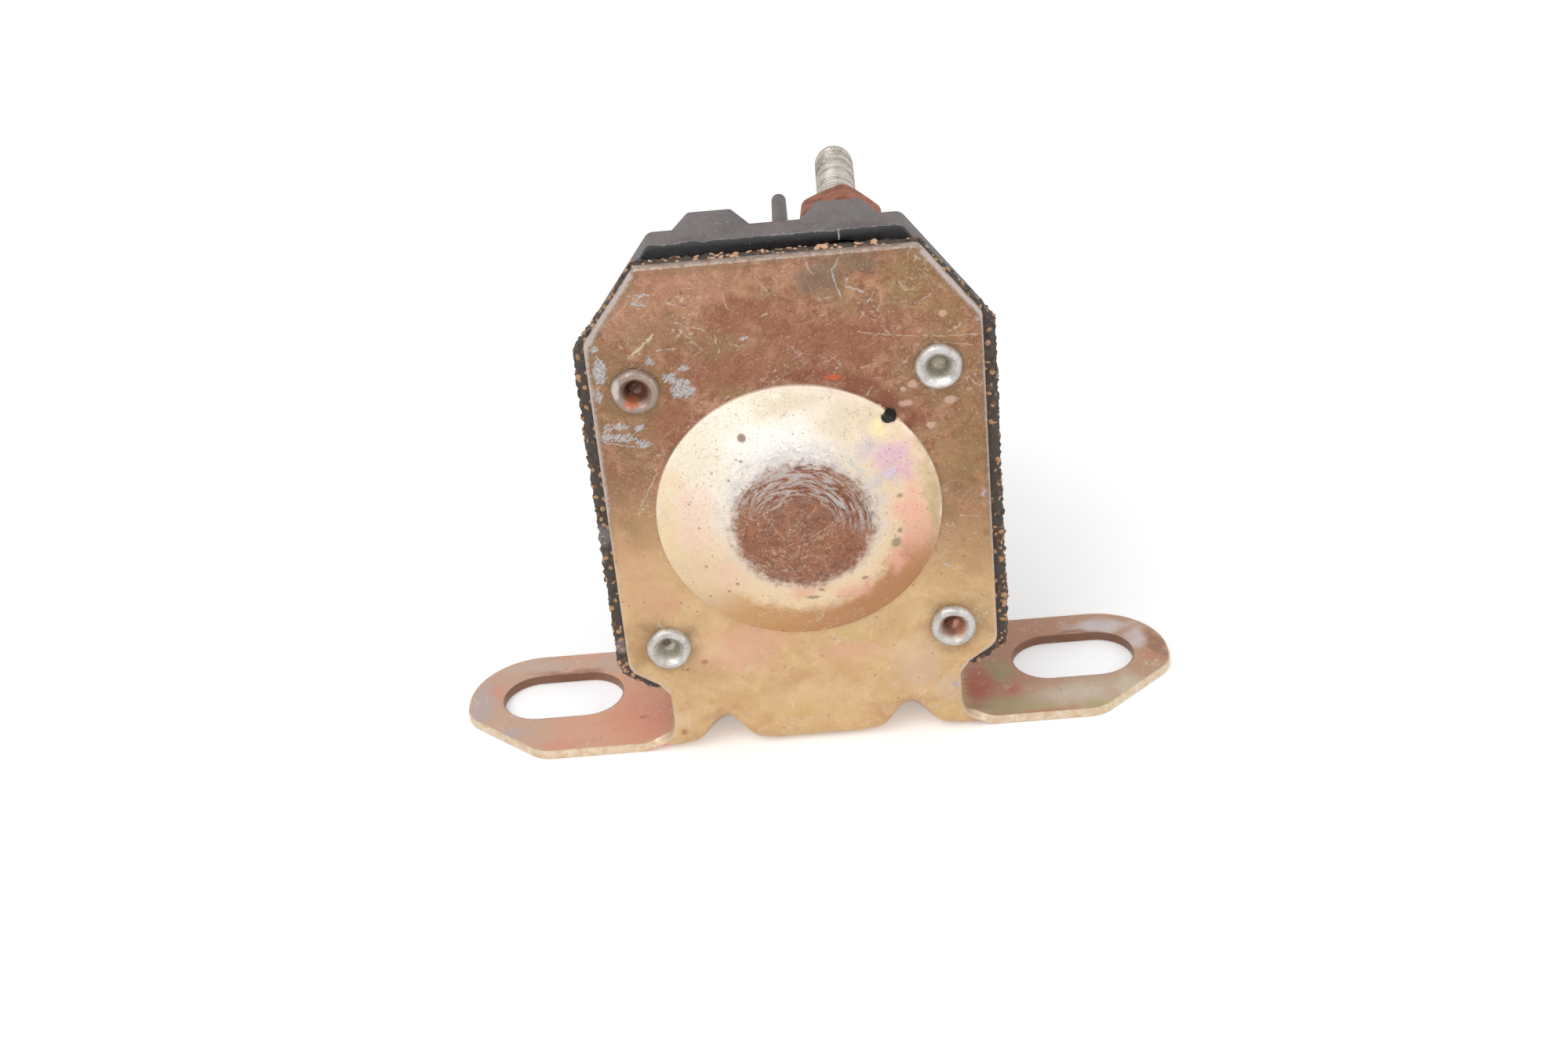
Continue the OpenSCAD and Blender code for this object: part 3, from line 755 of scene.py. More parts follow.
def plate_face(flat, depth, plate):
    """Places of flat pattern points (across, down from the top edge) at a depth into the sheet"""
    x, s = flat[:, 0], flat[:, 1]
    bend, _ = bend_and_shift(plate)
    start = PLATE_TOP + AXIS_H - bend
    end = start + bend * math.pi / 2
    turn = np.clip((s - start) / bend, 0, math.pi / 2)
    y = bend - (bend - depth) * np.cos(turn) + np.maximum(s - end, 0)
    z = PLATE_TOP - np.minimum(s, start) - (bend - depth) * np.sin(turn)
    ear = smooth((np.abs(x) - NECK_HALF - 1.5) / 3.0) * (s > start - 4)
    y = y + ear * (s - end + bend - y)
    z = z + ear * (depth - AXIS_H - z)
    radius, height = plate.dome_radius * 1000, plate.dome_height * 1000
    foot = radius - DOME_WALL * depth / (plate.sheet * 1000)
    r = np.hypot(x, z)
    share = np.clip(r / foot, 0, 1)
    rise = DOME_STEP + (height - DOME_STEP) * (1 - share ** DOME_POWER)
    y = y - np.where(r < foot - 0.05, rise, 0)
    if depth < 0.5:
        near = np.hypot((x - BLOB[0]) / 0.9, (z - BLOB[1] + 0.45 * (x - BLOB[0])) / 0.62)
        y = y - 0.7 * np.sqrt(np.clip(1 - near ** 2, 0, 1))
    back, up = math.sin(plate.gusset_tilt), math.cos(plate.gusset_tilt)
    for side in (-1, 1):
        dx = np.abs(x - side * GUSSET_X)
        half = plate.gusset_half * 1000 + 0.77 * depth
        bell = (1 + np.cos(math.pi * np.minimum(dx / half, 1))) / 2
        raised = (plate.gusset_deep * 1000 - GUSSET_FOOT) * bell
        wall = GUSSET_FOOT + depth + raised - 0.5 * np.maximum(dx - half, 0) ** 2
        d = y * back + (z + AXIS_H) * up
        gap = np.maximum(GUSSET_BLEND - np.abs(d - wall), 0) / GUSSET_BLEND
        deeper = np.maximum(d, wall) + gap ** 2 * GUSSET_BLEND / 4 - d
        pushed = np.where((dx < 9) & (s > 50), deeper, 0)
        y, z = y + pushed * back, z + pushed * up
    return np.stack([x, y, z], 1)


def plate_pattern(plate):
    """Outline of the flat pattern, as across and down from the top edge"""
    _, shift = bend_and_shift(plate)
    tip = plate.flange_width * 500
    front, back = EAR_FRONT + shift, EAR_BACK + shift
    cut_front, cut_side = (tip - 10.1, front), (tip, front + 9)
    neck_side = front - EAR_FILLET
    low = (PLATE_HALF, PLATE_TOP - PLATE_LOW_CORNER)
    waist = (NECK_HALF + 1.3, PLATE_TOP - NECK_TOP)
    neck = (NECK_HALF, PLATE_TOP - NECK_TOP + 1.8)
    half = arc((0, 0), (PLATE_TOP_HALF, 0), (PLATE_HALF, PLATE_TOP - PLATE_SHOULDER), 0.9)
    half += arc((PLATE_TOP_HALF, 0), (PLATE_HALF, PLATE_TOP - PLATE_SHOULDER), low, 0.9)
    half += arc((PLATE_HALF, 20), low, waist, LOW_CORNER_R, 10)
    half += arc(low, waist, neck, 0.9)
    half += arc(waist, neck, (NECK_HALF, neck_side), 1.0)
    turn = np.radians(np.linspace(180, 90, 10))
    fillet = np.array([NECK_HALF + EAR_FILLET, neck_side])
    half += [fillet + EAR_FILLET * np.array([math.cos(a), math.sin(a)]) for a in turn]
    half += arc((NECK_HALF + EAR_FILLET, front), cut_front, cut_side, 4.0)
    half += arc(cut_front, cut_side, (tip, back), 4.5)
    half += arc(cut_side, (tip, back), (0, back), 9.4, 12)
    return resampled(mirrored(half), 0.6)


def stadium(cx, cy, length, width, count=20):
    """Outline of a slot with round ends"""
    straight, r = (length - width) / 2, width / 2
    turn = np.linspace(-math.pi / 2, math.pi / 2, count)
    right = [(cx + straight + r * math.cos(a), cy + r * math.sin(a)) for a in turn]
    turn = np.linspace(math.pi / 2, 3 * math.pi / 2, count)
    left = [(cx - straight + r * math.cos(a), cy + r * math.sin(a)) for a in turn]
    return resampled(right + left, 0.6)


def fill_points(low, high, step, loops, clear, keep=None):
    """Even points over a box, clear of the loops"""
    rows = np.arange(low[1], high[1], step * 0.866)
    columns = np.arange(low[0], high[0], step)
    made = np.array([
        (x + (step / 2 if i % 2 else 0), y) for i, y in enumerate(rows) for x in columns])
    if keep is not None:
        made = made[keep(made)]
    for loop in loops:
        made = made[distance_to(made, loop) > clear]
    return made


def closed_sheet(outer, holes, creases, fill, rings, face, thickness):
    """Closed sheet: both faces from one pattern, and rings (inset, depth) round every edge"""
    edge = rings[0][0]
    loops = [inset(outer, edge)] + [inset(hole, -edge) for hole in holes]
    points, triangles = sheet_triangles(loops, np.concatenate([*creases, fill]))
    front, back = face(points, 0.0), face(points, thickness)
    made, faces = [front, back], [tuple(t) for t in triangles]
    count = len(points)
    faces += [tuple(i + count for i in reversed(t)) for t in triangles]
    rim = [np.min([distance_to(points, loop) for loop in [outer, *holes]], axis=0)] * 2
    start, total = 0, 2 * count
    for number, loop in enumerate([outer, *holes]):
        n = len(loop)
        rows = [start + np.arange(n)]
        for offset, depth in rings[1:]:
            made.append(face(inset(loop, offset if number == 0 else -offset), depth))
            rim.append(np.zeros(n))
            rows.append(total + np.arange(n))
            total += n
        rows.append(count + start + np.arange(n))
        for a, b in zip(rows, rows[1:]):
            for i in range(n):
                j = (i + 1) % n
                faces.append((int(a[i]), int(a[j]), int(b[j]), int(b[i])))
        start += n
    return np.concatenate(made), faces, np.concatenate(rim)


# Stains on the plate: colour, strength, softness, then x, z, half width and half height of
# each patch, in millimetres about the axis
STAINS = [
    ((186, 138, 110), 0.55, 0.7, [
        (-10, 30.5, 7, 2.6), (-16.5, 27.5, 3.5, 3.5), (1, 30.8, 1.6, 2)]),
    ((138, 106, 74), 0.5, 0.7, [
        (-14, 25, 3, 2.4), (-19.8, 20.5, 2, 4), (-8, 22.6, 3, 1.6), (-18.5, 9, 3, 3.4)]),
    ((118, 104, 86), 0.65, 0.6, [(5, 30.3, 3.2, 2.2), (9.5, 31.4, 2.4, 1.4)]),
    ((140, 112, 66), 0.55, 0.6, [(15, 29.5, 3, 3), (19, 24.5, 2.4, 3.4), (20.6, 8, 1.8, 6)]),
    ((142, 84, 58), 0.6, 0.6, [
        (-6, 19.5, 7, 2.4), (-13.5, 12.5, 2.6, 3.4), (6, 22, 8, 3.4), (-3, 26, 5, 2)]),
    ((126, 66, 48), 0.75, 0.5, [
        (2.5, 18.2, 4.2, 0.9), (7.6, 16.4, 3, 1.3), (11.6, 13.4, 2.3, 1.7),
        (14.3, 10.6, 1.3, 1.6)]),
    ((124, 106, 68), 0.4, 0.6, [
        (-20.9, 4, 1, 1.8), (-20.6, 0, 1, 1.4), (17.8, -2.8, 1, 1.6), (19, 3, 1.8, 2.4)]),
    ((206, 160, 124), 0.7, 0.6, [(-20, -5.5, 2.6, 3.4), (-18.6, -11, 3.4, 2.6)]),
    ((168, 130, 90), 0.5, 0.7, [
        (20.6, -7, 2.2, 5), (21.6, -17, 1.1, 4), (-21.8, -18, 0.9, 4), (18.2, 5, 1.6, 3),
        (-19.6, -1.4, 1.6, 2.4)]),
    ((228, 196, 158), 0.45, 0.7, [
        (-12, -19.4, 4, 2), (12.6, -20.6, 3.4, 1.8), (0, -26.6, 5, 1.6), (-17.4, -29.6, 2, 1.2)]),
    ((220, 166, 142), 0.6, 0.7, [(-7.5, -17.6, 4, 1.6), (-9, -20.5, 4, 1.8), (5, -20.5, 3, 1.6)]),
    ((190, 148, 104), 0.55, 0.6, [
        (-13.5, -22, 2.4, 2), (-20.2, -16.4, 1.6, 3), (-3, -24, 2.4, 1.4)]),
    ((208, 178, 118), 0.6, 0.6, [
        (-1.5, -29, 3, 1.8), (5, -17.9, 2, 1), (9.5, -28.2, 2, 1.2), (15.4, -30.4, 2, 1.6)]),
    ((208, 178, 156), 0.5, 0.6, [(13, -23.6, 3, 2.8), (16.4, -27.2, 1.6, 2.2)]),
    ((184, 134, 96), 0.45, 0.5, [
        (-11.6, -28.6, 2.6, 0.7), (11.6, -28.8, 3, 0.8), (8.4, -31, 0.7, 1.4)]),
    ((134, 104, 66), 0.65, 0.45, [
        (-17.5, 17.8, 4, 4), (17.4, 17.7, 4, 4), (-17.6, -17.7, 3.5, 3.5),
        (17.4, -17.8, 3.5, 3.5)]),
]

# Tints of the dome's flank, and a painted highlight above the cap
FLANK = [
    ((216, 198, 166), 0.6, 0.7, [(8, 12.8, 4.6, 2.4), (0, 15.6, 6, 1)]),
    ((234, 222, 186), 0.5, 0.7, [(-10.6, 9.6, 2.6, 3)]),
    # painted highlight on the dome above the cap
    ((254, 250, 243), 0.85, 0.7, [(-2.6, 10.6, 5.6, 2.2)]),
    ((226, 196, 156), 0.5, 0.7, [(-13, -6.6, 2.6, 4)]),
    ((238, 194, 172), 0.55, 0.7, [(-12.6, 1.5, 2.4, 4.6), (-8.6, -6.6, 2, 1.8)]),
    ((236, 208, 160), 0.6, 0.5, [(-16, 0, 1.2, 5.5), (-14.6, 6.6, 1.4, 2)]),
    ((214, 170, 202), 0.65, 0.6, [(11.5, 7.7, 1.7, 1.9), (13.2, 5.6, 1, 1.2)]),
    ((196, 184, 204), 0.55, 0.6, [(10.4, 5.2, 1.6, 0.8), (8.7, 9.4, 1.2, 0.9)]),
    ((206, 200, 236), 0.75, 0.5, [(11.8, 5.4, 0.7, 0.6)]),
    ((246, 232, 172), 0.7, 0.5, [(6.1, 7.8, 1, 0.6), (9.8, 11.8, 1.2, 0.8)]),
    ((240, 176, 156), 0.7, 0.7, [(13.4, -0.6, 1.9, 5), (11.4, -6.4, 1.4, 1.8)]),
    ((188, 164, 120), 0.65, 0.5, [(16.2, 0.6, 0.8, 5.6), (15.4, 7.6, 0.7, 2.2)]),
    ((228, 166, 142), 0.6, 0.6, [(6, -10.2, 2.4, 0.9), (0.4, -9, 1.8, 0.7)]),
]

# Stains on the ears, and a painted sheen on the right ear: colour, strength, softness, then x,
# depth, half width and half depth
EAR_STAINS = [
    ((228, 152, 124), 0.85, 0.7, [(-21.6, 6.5, 4.6, 5)]),
    ((188, 170, 168), 0.8, 0.6, [(-44.2, 12.5, 1.7, 4.5), (-40.2, 5.6, 2.2, 1.3)]),
    ((216, 152, 128), 0.7, 0.6, [(-42.4, 14, 1.2, 2.6), (-33, 2.2, 4, 0.9)]),
    ((204, 178, 164), 0.7, 0.6, [(-37, 20, 5, 1.5), (-27, 19.6, 4, 2)]),
    ((156, 104, 86), 0.7, 0.5, [(-32.6, 18.1, 4, 0.7)]),
    ((124, 74, 54), 0.85, 0.4, [(-22.8, 6.4, 0.42, 0.42)]),
    ((188, 104, 80), 0.85, 0.6, [(20.4, 8, 2.2, 3.6), (25.2, 6.4, 1, 0.9)]),
    ((168, 152, 112), 0.8, 0.6, [(24, 2.8, 4, 1.6), (23.6, 10.6, 1.4, 2.4)]),
    ((204, 188, 166), 0.85, 0.7, [(32.8, 4.6, 5.4, 2.8), (39.6, 5.6, 1.8, 2)]),
    ((176, 166, 114), 0.7, 0.6, [(36.8, 1.9, 3.2, 0.9), (28.4, 1.7, 3, 0.6)]),
    # painted sheen along the back of the right ear
    ((212, 200, 200), 0.8, 0.6, [
        (37.6, 19.4, 4, 1.1), (42.2, 15.6, 1.1, 2.2), (31.8, 17.8, 0.8, 0.5)]),
    ((152, 106, 84), 0.8, 0.5, [(44.7, 14, 0.9, 3.2), (33, 18.2, 4, 0.5)]),
    ((196, 130, 98), 0.75, 0.5, [(43, 11, 1.4, 1.1)]),
]

# Scraped places, in streaks: x, z, half width, half height
SCRAPED = [
    (-12, 17.2, 1.8, 1.2), (-13.4, 19.2, 1, 0.8), (-11.6, 20.2, 1.1, 0.6), (-12.4, 18.4, 1.4, 0.7),
    (-21.3, 20.6, 1.1, 1.8), (-21.9, 17.5, 0.7, 1),
    (-21.7, 23.4, 0.8, 0.7), (-20.3, 13.3, 1.9, 0.6), (-17.7, 13, 1.1, 0.5),
    (-19.4, 11.7, 1.8, 0.7), (-17.2, 10.8, 1.4, 0.5), (-21.6, 12, 1, 0.8),
    (-4.3, 23.3, 0.8, 0.5), (-15.4, 21.4, 0.7, 0.7), (-16, 16.2, 0.5, 0.4),
    (22.2, 23.4, 0.5, 0.6), (22.1, 0.4, 0.5, 0.6), (17, -9, 0.8, 0.3), (-16.2, 28.9, 0.8, 0.4),
    (-15.2, 29.7, 0.7, 0.25), (17.4, -26.8, 0.5, 0.9),
]


def paint(points, across, up, tables):
    """Stains, tints, painted highlight and painted sheen over one another at each point: their
    colour by strength, and their strength
    """
    colour, cover = np.zeros((len(points), 3)), np.zeros(len(points))
    for shade, strength, soft, rows in tables:
        mask = np.zeros(len(points))
        for x, z, wide, high in rows:
            reach = np.hypot((across - x) / wide, (up - z) / high)
            mask = np.maximum(mask, smooth((1 + soft - reach) / (2 * soft)))
        mask = (mask * strength)[:, None]
        colour = colour * (1 - mask) + np.array(tint(*shade)) * mask
        cover = cover * (1 - mask[:, 0]) + mask[:, 0]
    return colour, cover


def paint_plate(mesh, points):
    """Attributes for the material: the colour and strength of the stains, tints, painted highlight
    and painted sheen, and the scraped places
    """
    x = points[:, 0] + wander(points, 0.45, 1.5, 2.0) + wander(points, 1.5, 0.5, 5.0)
    z = points[:, 2] + wander(points, 0.45, 1.5, 11.0) + wander(points, 1.5, 0.5, 14.0)
    depth = points[:, 1] + wander(points, 0.45, 1.5, 17.0)
    dome = (np.hypot(points[:, 0], points[:, 2]) < 17.04)[:, None]
    colour, cover = paint(points, x, z, STAINS)
    colour_dome, cover_dome = paint(points, x, z, FLANK)
    colour, cover = np.where(dome, colour_dome, colour), np.where(dome[:, 0], cover_dome, cover)
    colour_ear, cover_ear = paint(points, x, depth, EAR_STAINS)
    ear = (points[:, 2] < -31.0) & (np.abs(points[:, 0]) > NECK_HALF + 0.8)
    front = (points[:, 1] < 0.9) & ~ear
    colour = np.where(ear[:, None], colour_ear, colour * front[:, None])
    cover = np.where(ear, cover_ear, cover * front)
    scraped = np.zeros(len(points))
    for px, pz, wide, high in SCRAPED:
        reach = np.hypot((points[:, 0] - px) / wide, (points[:, 2] - pz) / high)
        scraped = np.maximum(scraped, smooth((1.5 - reach) / 1.1))
    store(mesh, "stained", cover)
    store(mesh, "scraped", scraped * front)
    mesh.attributes.new("stain", "FLOAT_VECTOR", "POINT").data.foreach_set(
        "vector", colour.astype(np.float32).ravel())


def build_plate(plate):
    """Cover plate, bent and pressed from its flat pattern"""
    thick = plate.sheet * 1000
    outer = plate_pattern(plate)
    _, shift = bend_and_shift(plate)
    holes = [
        circle_points(sx * RIVET_X, PLATE_TOP + sz * RIVET_Z, SHEET_HOLE, 28)
        for sx in (-1, 1) for sz in (-1, 1)]
    holes += [stadium(side * SLOT_X, SLOT_Y + shift, SLOT_LONG, SLOT_WIDE) for side in (-1, 1)]
    radius = plate.dome_radius * 1000
    folds = (radius, radius - 0.1, radius - DOME_WALL, radius - DOME_WALL - 0.1)
    creases = [circle_points(0.0, PLATE_TOP, r, 176) for r in folds]
    blob_x, blob_down = BLOB[0], PLATE_TOP - BLOB[1]

    def from_blob(p):
        return np.hypot(p[:, 0] - blob_x, p[:, 1] - blob_down)

    def plain(p):
        channel = (np.abs(np.abs(p[:, 0]) - GUSSET_X) < 5.8) & (p[:, 1] > 53)
        return inside(p, inset(outer, 0.3)) & ~channel & (from_blob(p) > 1.7)

    loops = [outer, *holes]
    fill = fill_points((-46, 0), (46, 89), FLAT_STEP, loops + creases, 0.32, plain)
    across = np.arange(0, 5.7, 0.3)
    across = np.concatenate([-across[:0:-1], across])
    down = np.arange(53.2, 87.4, GUSSET_STEP)
    deep = np.array([
        (side * GUSSET_X + dx, s + (0.2 if i % 2 else 0))
        for side in (-1, 1) for i, dx in enumerate(across) for s in down])
    near = fill_points(
        (blob_x - 1.7, blob_down - 1.7), (blob_x + 1.7, blob_down + 1.7), BLOB_STEP, creases, 0.1,
        lambda p: from_blob(p) < 1.65)
    deep = deep[inside(deep, inset(outer, 0.3))]
    for loop in loops:
        deep = deep[distance_to(deep, loop) > 0.3]
    e = plate.edge_radius * 1000
    rings = [
        (e, 0.0), (e * 0.5, e * 0.13), (e * 0.13, e * 0.5), (0.0, e), (0.0, thick - 0.15),
        (0.05, thick - 0.04)]
    fill = np.concatenate([fill, deep, near])
    points, faces, rim = closed_sheet(
        outer, holes, creases, fill, rings, lambda p, depth: plate_face(p, depth, plate), thick)
    piece = make_piece(
        "cover_plate_pressing", points, faces, ["cover_plate"],
        material=finish("plated_sheet"), angle=40)
    store(piece.data, "rim", rim)
    paint_plate(piece.data, points)
    return piece


def store(mesh, name, values):
    attribute = mesh.attributes.new(name, "FLOAT", "POINT")
    attribute.data.foreach_set("value", np.asarray(values, np.float32))


def wander(points, scale, amount, seed):
    """Smooth random offsets, the same on every run"""
    places = [(p[0] * scale, p[1] * scale, p[2] * scale + seed) for p in points]
    return np.array([noise.noise(Vector(place)) for place in places]) * amount


def build_gasket(gasket):
    """Gasket with a ragged cut edge and its granules"""
    low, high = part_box("cover_gasket")
    y_front, thick = low.y * 1000 + SLOT_Y, (high.y - low.y) * 1000
    reach = PLATE_HALF + gasket.proud * 1000
    foot, side = (20.2, -24.7), (reach, PLATE_LOW_CORNER - 0.7)
    shoulder, crown = (reach, 22.6), (16.2, 32.8)
    half = [np.array(foot)] + arc(foot, side, shoulder, LOW_CORNER_R, 10)
    half += arc(side, shoulder, crown, 1.2) + arc(shoulder, crown, (0, 32.8), 1.2)
    outer = resampled(mirrored(half), 0.3)
    opening = circle_points(0, 0, GASKET_OPENING, 120)
    holes = [opening] + [
        circle_points(sx * RIVET_X, sz * RIVET_Z, GASKET_HOLE, 24)
        for sx in (-1, 1) for sz in (-1, 1)]
    fill = fill_points(
        (-25, -25), (25, 34), 0.8, [outer, *holes], 0.45,
        lambda p: inside(p, inset(outer, 0.5)) & ~inside(p, opening))
    ragged = gasket.ragged * 1000

    def face(flat, depth):
        deep = np.full(len(flat), depth)
        place = np.stack([flat[:, 0], y_front + deep, flat[:, 1]], 1)
        out = flat / np.maximum(np.linalg.norm(flat, axis=1), 1e-6)[:, None]
        edge = distance_to(flat, outer)
        move = wander(place, 1.1, ragged * 1.6, 3.0) + wander(place, 3.4, ragged, 9.0)
        move *= np.clip(1 - edge / 0.8, 0, 1)
        place[:, 0] += out[:, 0] * move
        place[:, 2] += out[:, 1] * move
        return place

    rings = [
        (0.22, 0.0), (0.05, 0.18), (-0.05, thick * 0.35), (-0.03, thick * 0.65),
        (0.06, thick - 0.16)]
    points, faces, _ = closed_sheet(outer, holes, [], fill, rings, face, thick)
    flat = points[:, [0, 2]]
    at_edge = distance_to(flat, outer) < gasket.proud * 1000 + 0.35
    shown = at_edge & (points[:, 1] < y_front + thick - 0.1)
    mesh = bpy.data.meshes.new("gasket_slab")
    mesh.from_pydata([tuple(p) for p in to_row(points)], [], faces)
    turn_outward(mesh)
    store(mesh, "exposed", shown.astype(float))
    store(mesh, "grain", np.zeros(len(points)))
    made = run_tree(mesh, granule_tree(), {
        "Density": gasket.density, "Smallest": gasket.grain_small, "Largest": gasket.grain_large,
        "Seed": gasket.seed, "Material": finish("cork_gasket"),
    }, "cork_gasket_sheet")
    return adopt(made, "cork_gasket_sheet", ["cover_gasket"], BODY, None, 60)


def build_housing(housing):
    """Housing with its moulded edges rounded"""
    def chosen(p):
        """Not round the rivets, in the chamber, round the studs or at the front face"""
        if math.hypot(abs(p[0]) - RIVET_X, abs(p[2]) - RIVET_Z) < 2.7:
            return False
        if math.hypot(p[0], p[2]) < 19.5 and p[1] < 37:
            return False
        main_stud_gap = math.hypot(abs(p[0]) - 11.5, p[2])
        coil_stud_gap = math.hypot(p[0] - COIL_X, p[2] - COIL_Z)
        return main_stud_gap > 4.6 and coil_stud_gap + 1.5 > 4.6 and p[1] > 3.0

    mesh = softened_copy("housing", housing.edge_radius, chosen)
    mesh.materials.clear()
    mesh.materials.append(finish("moulded_housing"))
    return adopt(mesh, "housing_moulding", ["housing"], BODY, None, 30)


# Fasteners and springs

# Across flats, bore, front face, height
MAIN_NUT = (12.7, 3.55, 39.5, 6.7)
COIL_NUT, COIL_NUT_TURN = (9.53, 2.0, 13.8, 4.4), math.radians(10)
# Radius, wire, turns, start, end, the end that stays, share of the length when the plunger is in
RETURN_SPRING = (3.5, 0.35, 6, 7.0, 16.6, 16.6, 0.667)
CONTACT_SPRING = (3.5, 0.25, 1.5, 24.0, 26.2, 24.0, 0.636)


def rivet_mesh():
    """Tubular rivet: rolled rim, cupped end, shank and round head"""
    profile = [
        (0.0, 1.25), (0.5, 1.2), (0.85, 1.0), (1.05, 0.68), (1.18, 0.3), (1.29, 0.0),
        (1.42, -0.28), (1.58, -0.52), (1.77, -0.72)]
    for i in range(10):
        a = math.radians(258 + i * 102 / 9)
        profile.append((2.12 + 0.7 * math.cos(a), -0.15 + 0.8 * math.sin(a)))
    profile += [(2.78, 0.0), (2.1, 0.02), (2.1, 8.0), (3.25, 8.0), (3.4, 8.12)]
    profile += [
        (3.4 * math.cos(math.radians(a)), 8.1 + 1.4 * math.sin(math.radians(a)))
        for a in range(15, 90, 15)]
    profile.append((0.0, 9.5))
    points, faces = lathe(profile, 44)
    made = []
    for p in points:
        turn = math.atan2(p[2], p[0])
        dent = 1 + 0.02 * math.sin(2 * turn + 0.5) + 0.012 * math.sin(5 * turn)
        lift = 0.05 * math.sin(3 * turn + 1) if p[1] < 0 else 0.0
        made.append((p[0] * dent, p[1] + lift, p[2] * dent) if p[1] < 1.0 else p)
    return made, faces


def nut_mesh(across, bore, front, height, chamfer=0.93):
    """Hexagonal nut about the axis, with both ends chamfered and a countersunk bore"""
    half, corner = across / 2, across / 2 / math.cos(math.pi / 6)
    turns = []
    for side in range(6):
        for share in (-1, -0.97, -0.92, -0.8, -0.6, -0.35, 0, 0.35, 0.6, 0.8, 0.92, 0.97):
            turns.append(math.radians(side * 60 + share * 30))
    back, flat = front + height, half * chamfer

    def section(a):
        """Radius and depth at a turn: bore, lip, flat and side in front, then the same behind"""
        off = (a + math.pi / 6) % (math.pi / 3) - math.pi / 6
        side = min(half / math.cos(off), corner - 0.18)
        drop = (side - flat) * math.tan(math.radians(28))
        end = [(bore, 0.45), (bore + 0.5, 0.0), (flat, 0.0), (side, drop)]
        return [(r, front + y) for r, y in end] + [(r, back - y) for r, y in reversed(end)]

    sections = [section(a) for a in turns]
    rows, n = len(sections[0]), len(turns)
    points = []
    for k in range(rows):
        for a, made in zip(turns, sections):
            r, y = made[k]
            points.append((r * math.cos(a), y, r * math.sin(a)))
    faces = []
    for i in range(rows):
        k = (i + 1) % rows
        for j in range(n):
            m = (j + 1) % n
            faces.append((i * n + j, i * n + m, k * n + m, k * n + j))
    return points, faces


def prism(outline, front, back, edge):
    """Closed extrusion along Y of an outline in x and z, with softened ends"""
    loop = resampled(outline, 5.0)
    rows = [
        (edge, front), (edge * 0.3, front + edge * 0.3), (0, front + edge), (0, back - edge),
        (edge * 0.3, back - edge * 0.3), (edge, back)]
    points, n = [], len(loop)
    for offset, y in rows:
        points += [(p[0], y, p[1]) for p in inset(loop, offset)]
    faces = [tuple(range(n)), tuple(range(5 * n, 6 * n))]
    for r in range(5):
        faces += [
            (r * n + i, r * n + (i + 1) % n, (r + 1) * n + (i + 1) % n, (r + 1) * n + i)
            for i in range(n)]
    return points, faces


def mesh_of(points, faces, name):
    """Mesh from points in millimetres whose places are the axis's, not yet in the part's frame"""
    mesh = bpy.data.meshes.new(name)
    mesh.from_pydata([tuple(np.array(p) / 1000.0) for p in points], [], faces)
    return mesh


def build_stud(name, node, slot, place, head, rod):
    """Stud at a place (x, z), with a prism for its head (outline, front, back, edge)"""
    x, z = place
    points, faces = prism(*head)
    mesh = mesh_of(
        [(p[0] + x, p[1] - SLOT_Y, p[2] + AXIS_H + z) for p in points], faces, name + "_head")
    start, end = rod.pop("ends")
    values = {
        **rod, "Start": (start - SLOT_Y) / 1000, "End": (end - SLOT_Y) / 1000,
        "Place": (x / 1000, 0.0, (AXIS_H + z) / 1000), "Material": finish(slot),
    }
    made = run_tree(mesh, thread_tree(), values, name)
    return adopt(made, name, [node], BODY, None, 34)


def main_stud(side, hardware, name, node):
    """Battery or starter stud, whose round head has two flats"""
    outline = []
    for a in np.radians(np.arange(0, 360, 6)):
        p = (6 * math.cos(a), float(np.clip(6 * math.sin(a), -4.8, 4.8)))
        if not outline or math.dist(p, outline[-1]) > 0.15:
            outline.append(p)
    rod = {
        "Radius": 0.00397, "Depth": 0.00042, "Pitch": hardware.main_pitch, "ends": (33.9, 60.0),
        "Tip": 0.0009, "Tip radius": 0.00307, "Roundness": 1.0, "Rows": 200,
    }
    place = (side * hardware.main_across * 500, 0.0)
    return build_stud(name, node, "copper", place, (outline, 31.25, 34.0, 0.2), rod)


def coil_stud(hardware):
    """Number 10 stud with a hexagonal head and a round end"""
    head = [tuple(p) for p in circle_points(0, 0, 4.2, 6)]
    rod = {
        "Radius": 0.00241, "Depth": 0.00026, "Pitch": hardware.coil_pitch, "ends": (5.7, 39.0),
        "Tip": 0.00241, "Tip radius": 0.0, "Roundness": 2.0, "Rows": 300,
    }
    return build_stud(
        "coil_terminal_stud", "coil_stud", "plated_hardware", (COIL_X, COIL_Z),
        (head, 3.85, 5.8, 0.15), rod)


def place_copies(points, faces, name, nodes, slot, values, angle=30):
    """Copies of one fastener as one plain mesh"""
    source = mesh_of([(p[0], p[1] - SLOT_Y, p[2]) for p in points], faces, name + "_one")
    made = run_tree(source, copies_tree(), {**values, "Material": finish(slot)}, name)
    return adopt(made, name, nodes, BODY, None, angle)


def build_spring(name, node, body, radius, wire, turns, start, end, anchor, keep):
    """Coil spring about the axis, from its start to its end"""
    values = {
        "Radius": radius / 1000, "Wire": wire / 1000, "Turns": float(turns),
        "Start": (start - SLOT_Y) / 1000, "End": (end - SLOT_Y) / 1000,
        "Height": AXIS_H / 1000, "Material": finish("spring_steel"),
    }
    made = run_tree(bpy.data.meshes.new(name + "_seed"), spring_tree(), values, name)
    piece = adopt(made, name, [node], body, None, 60)
    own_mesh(piece)
    return piece


def dress(slot, *nodes):
    """Solids carried over as they are, in a finish of their own"""
    for node in nodes:
        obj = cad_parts[node]
        obj.data.materials.clear()
        obj.data.materials.append(finish(slot))


# Shader groups that several materials share


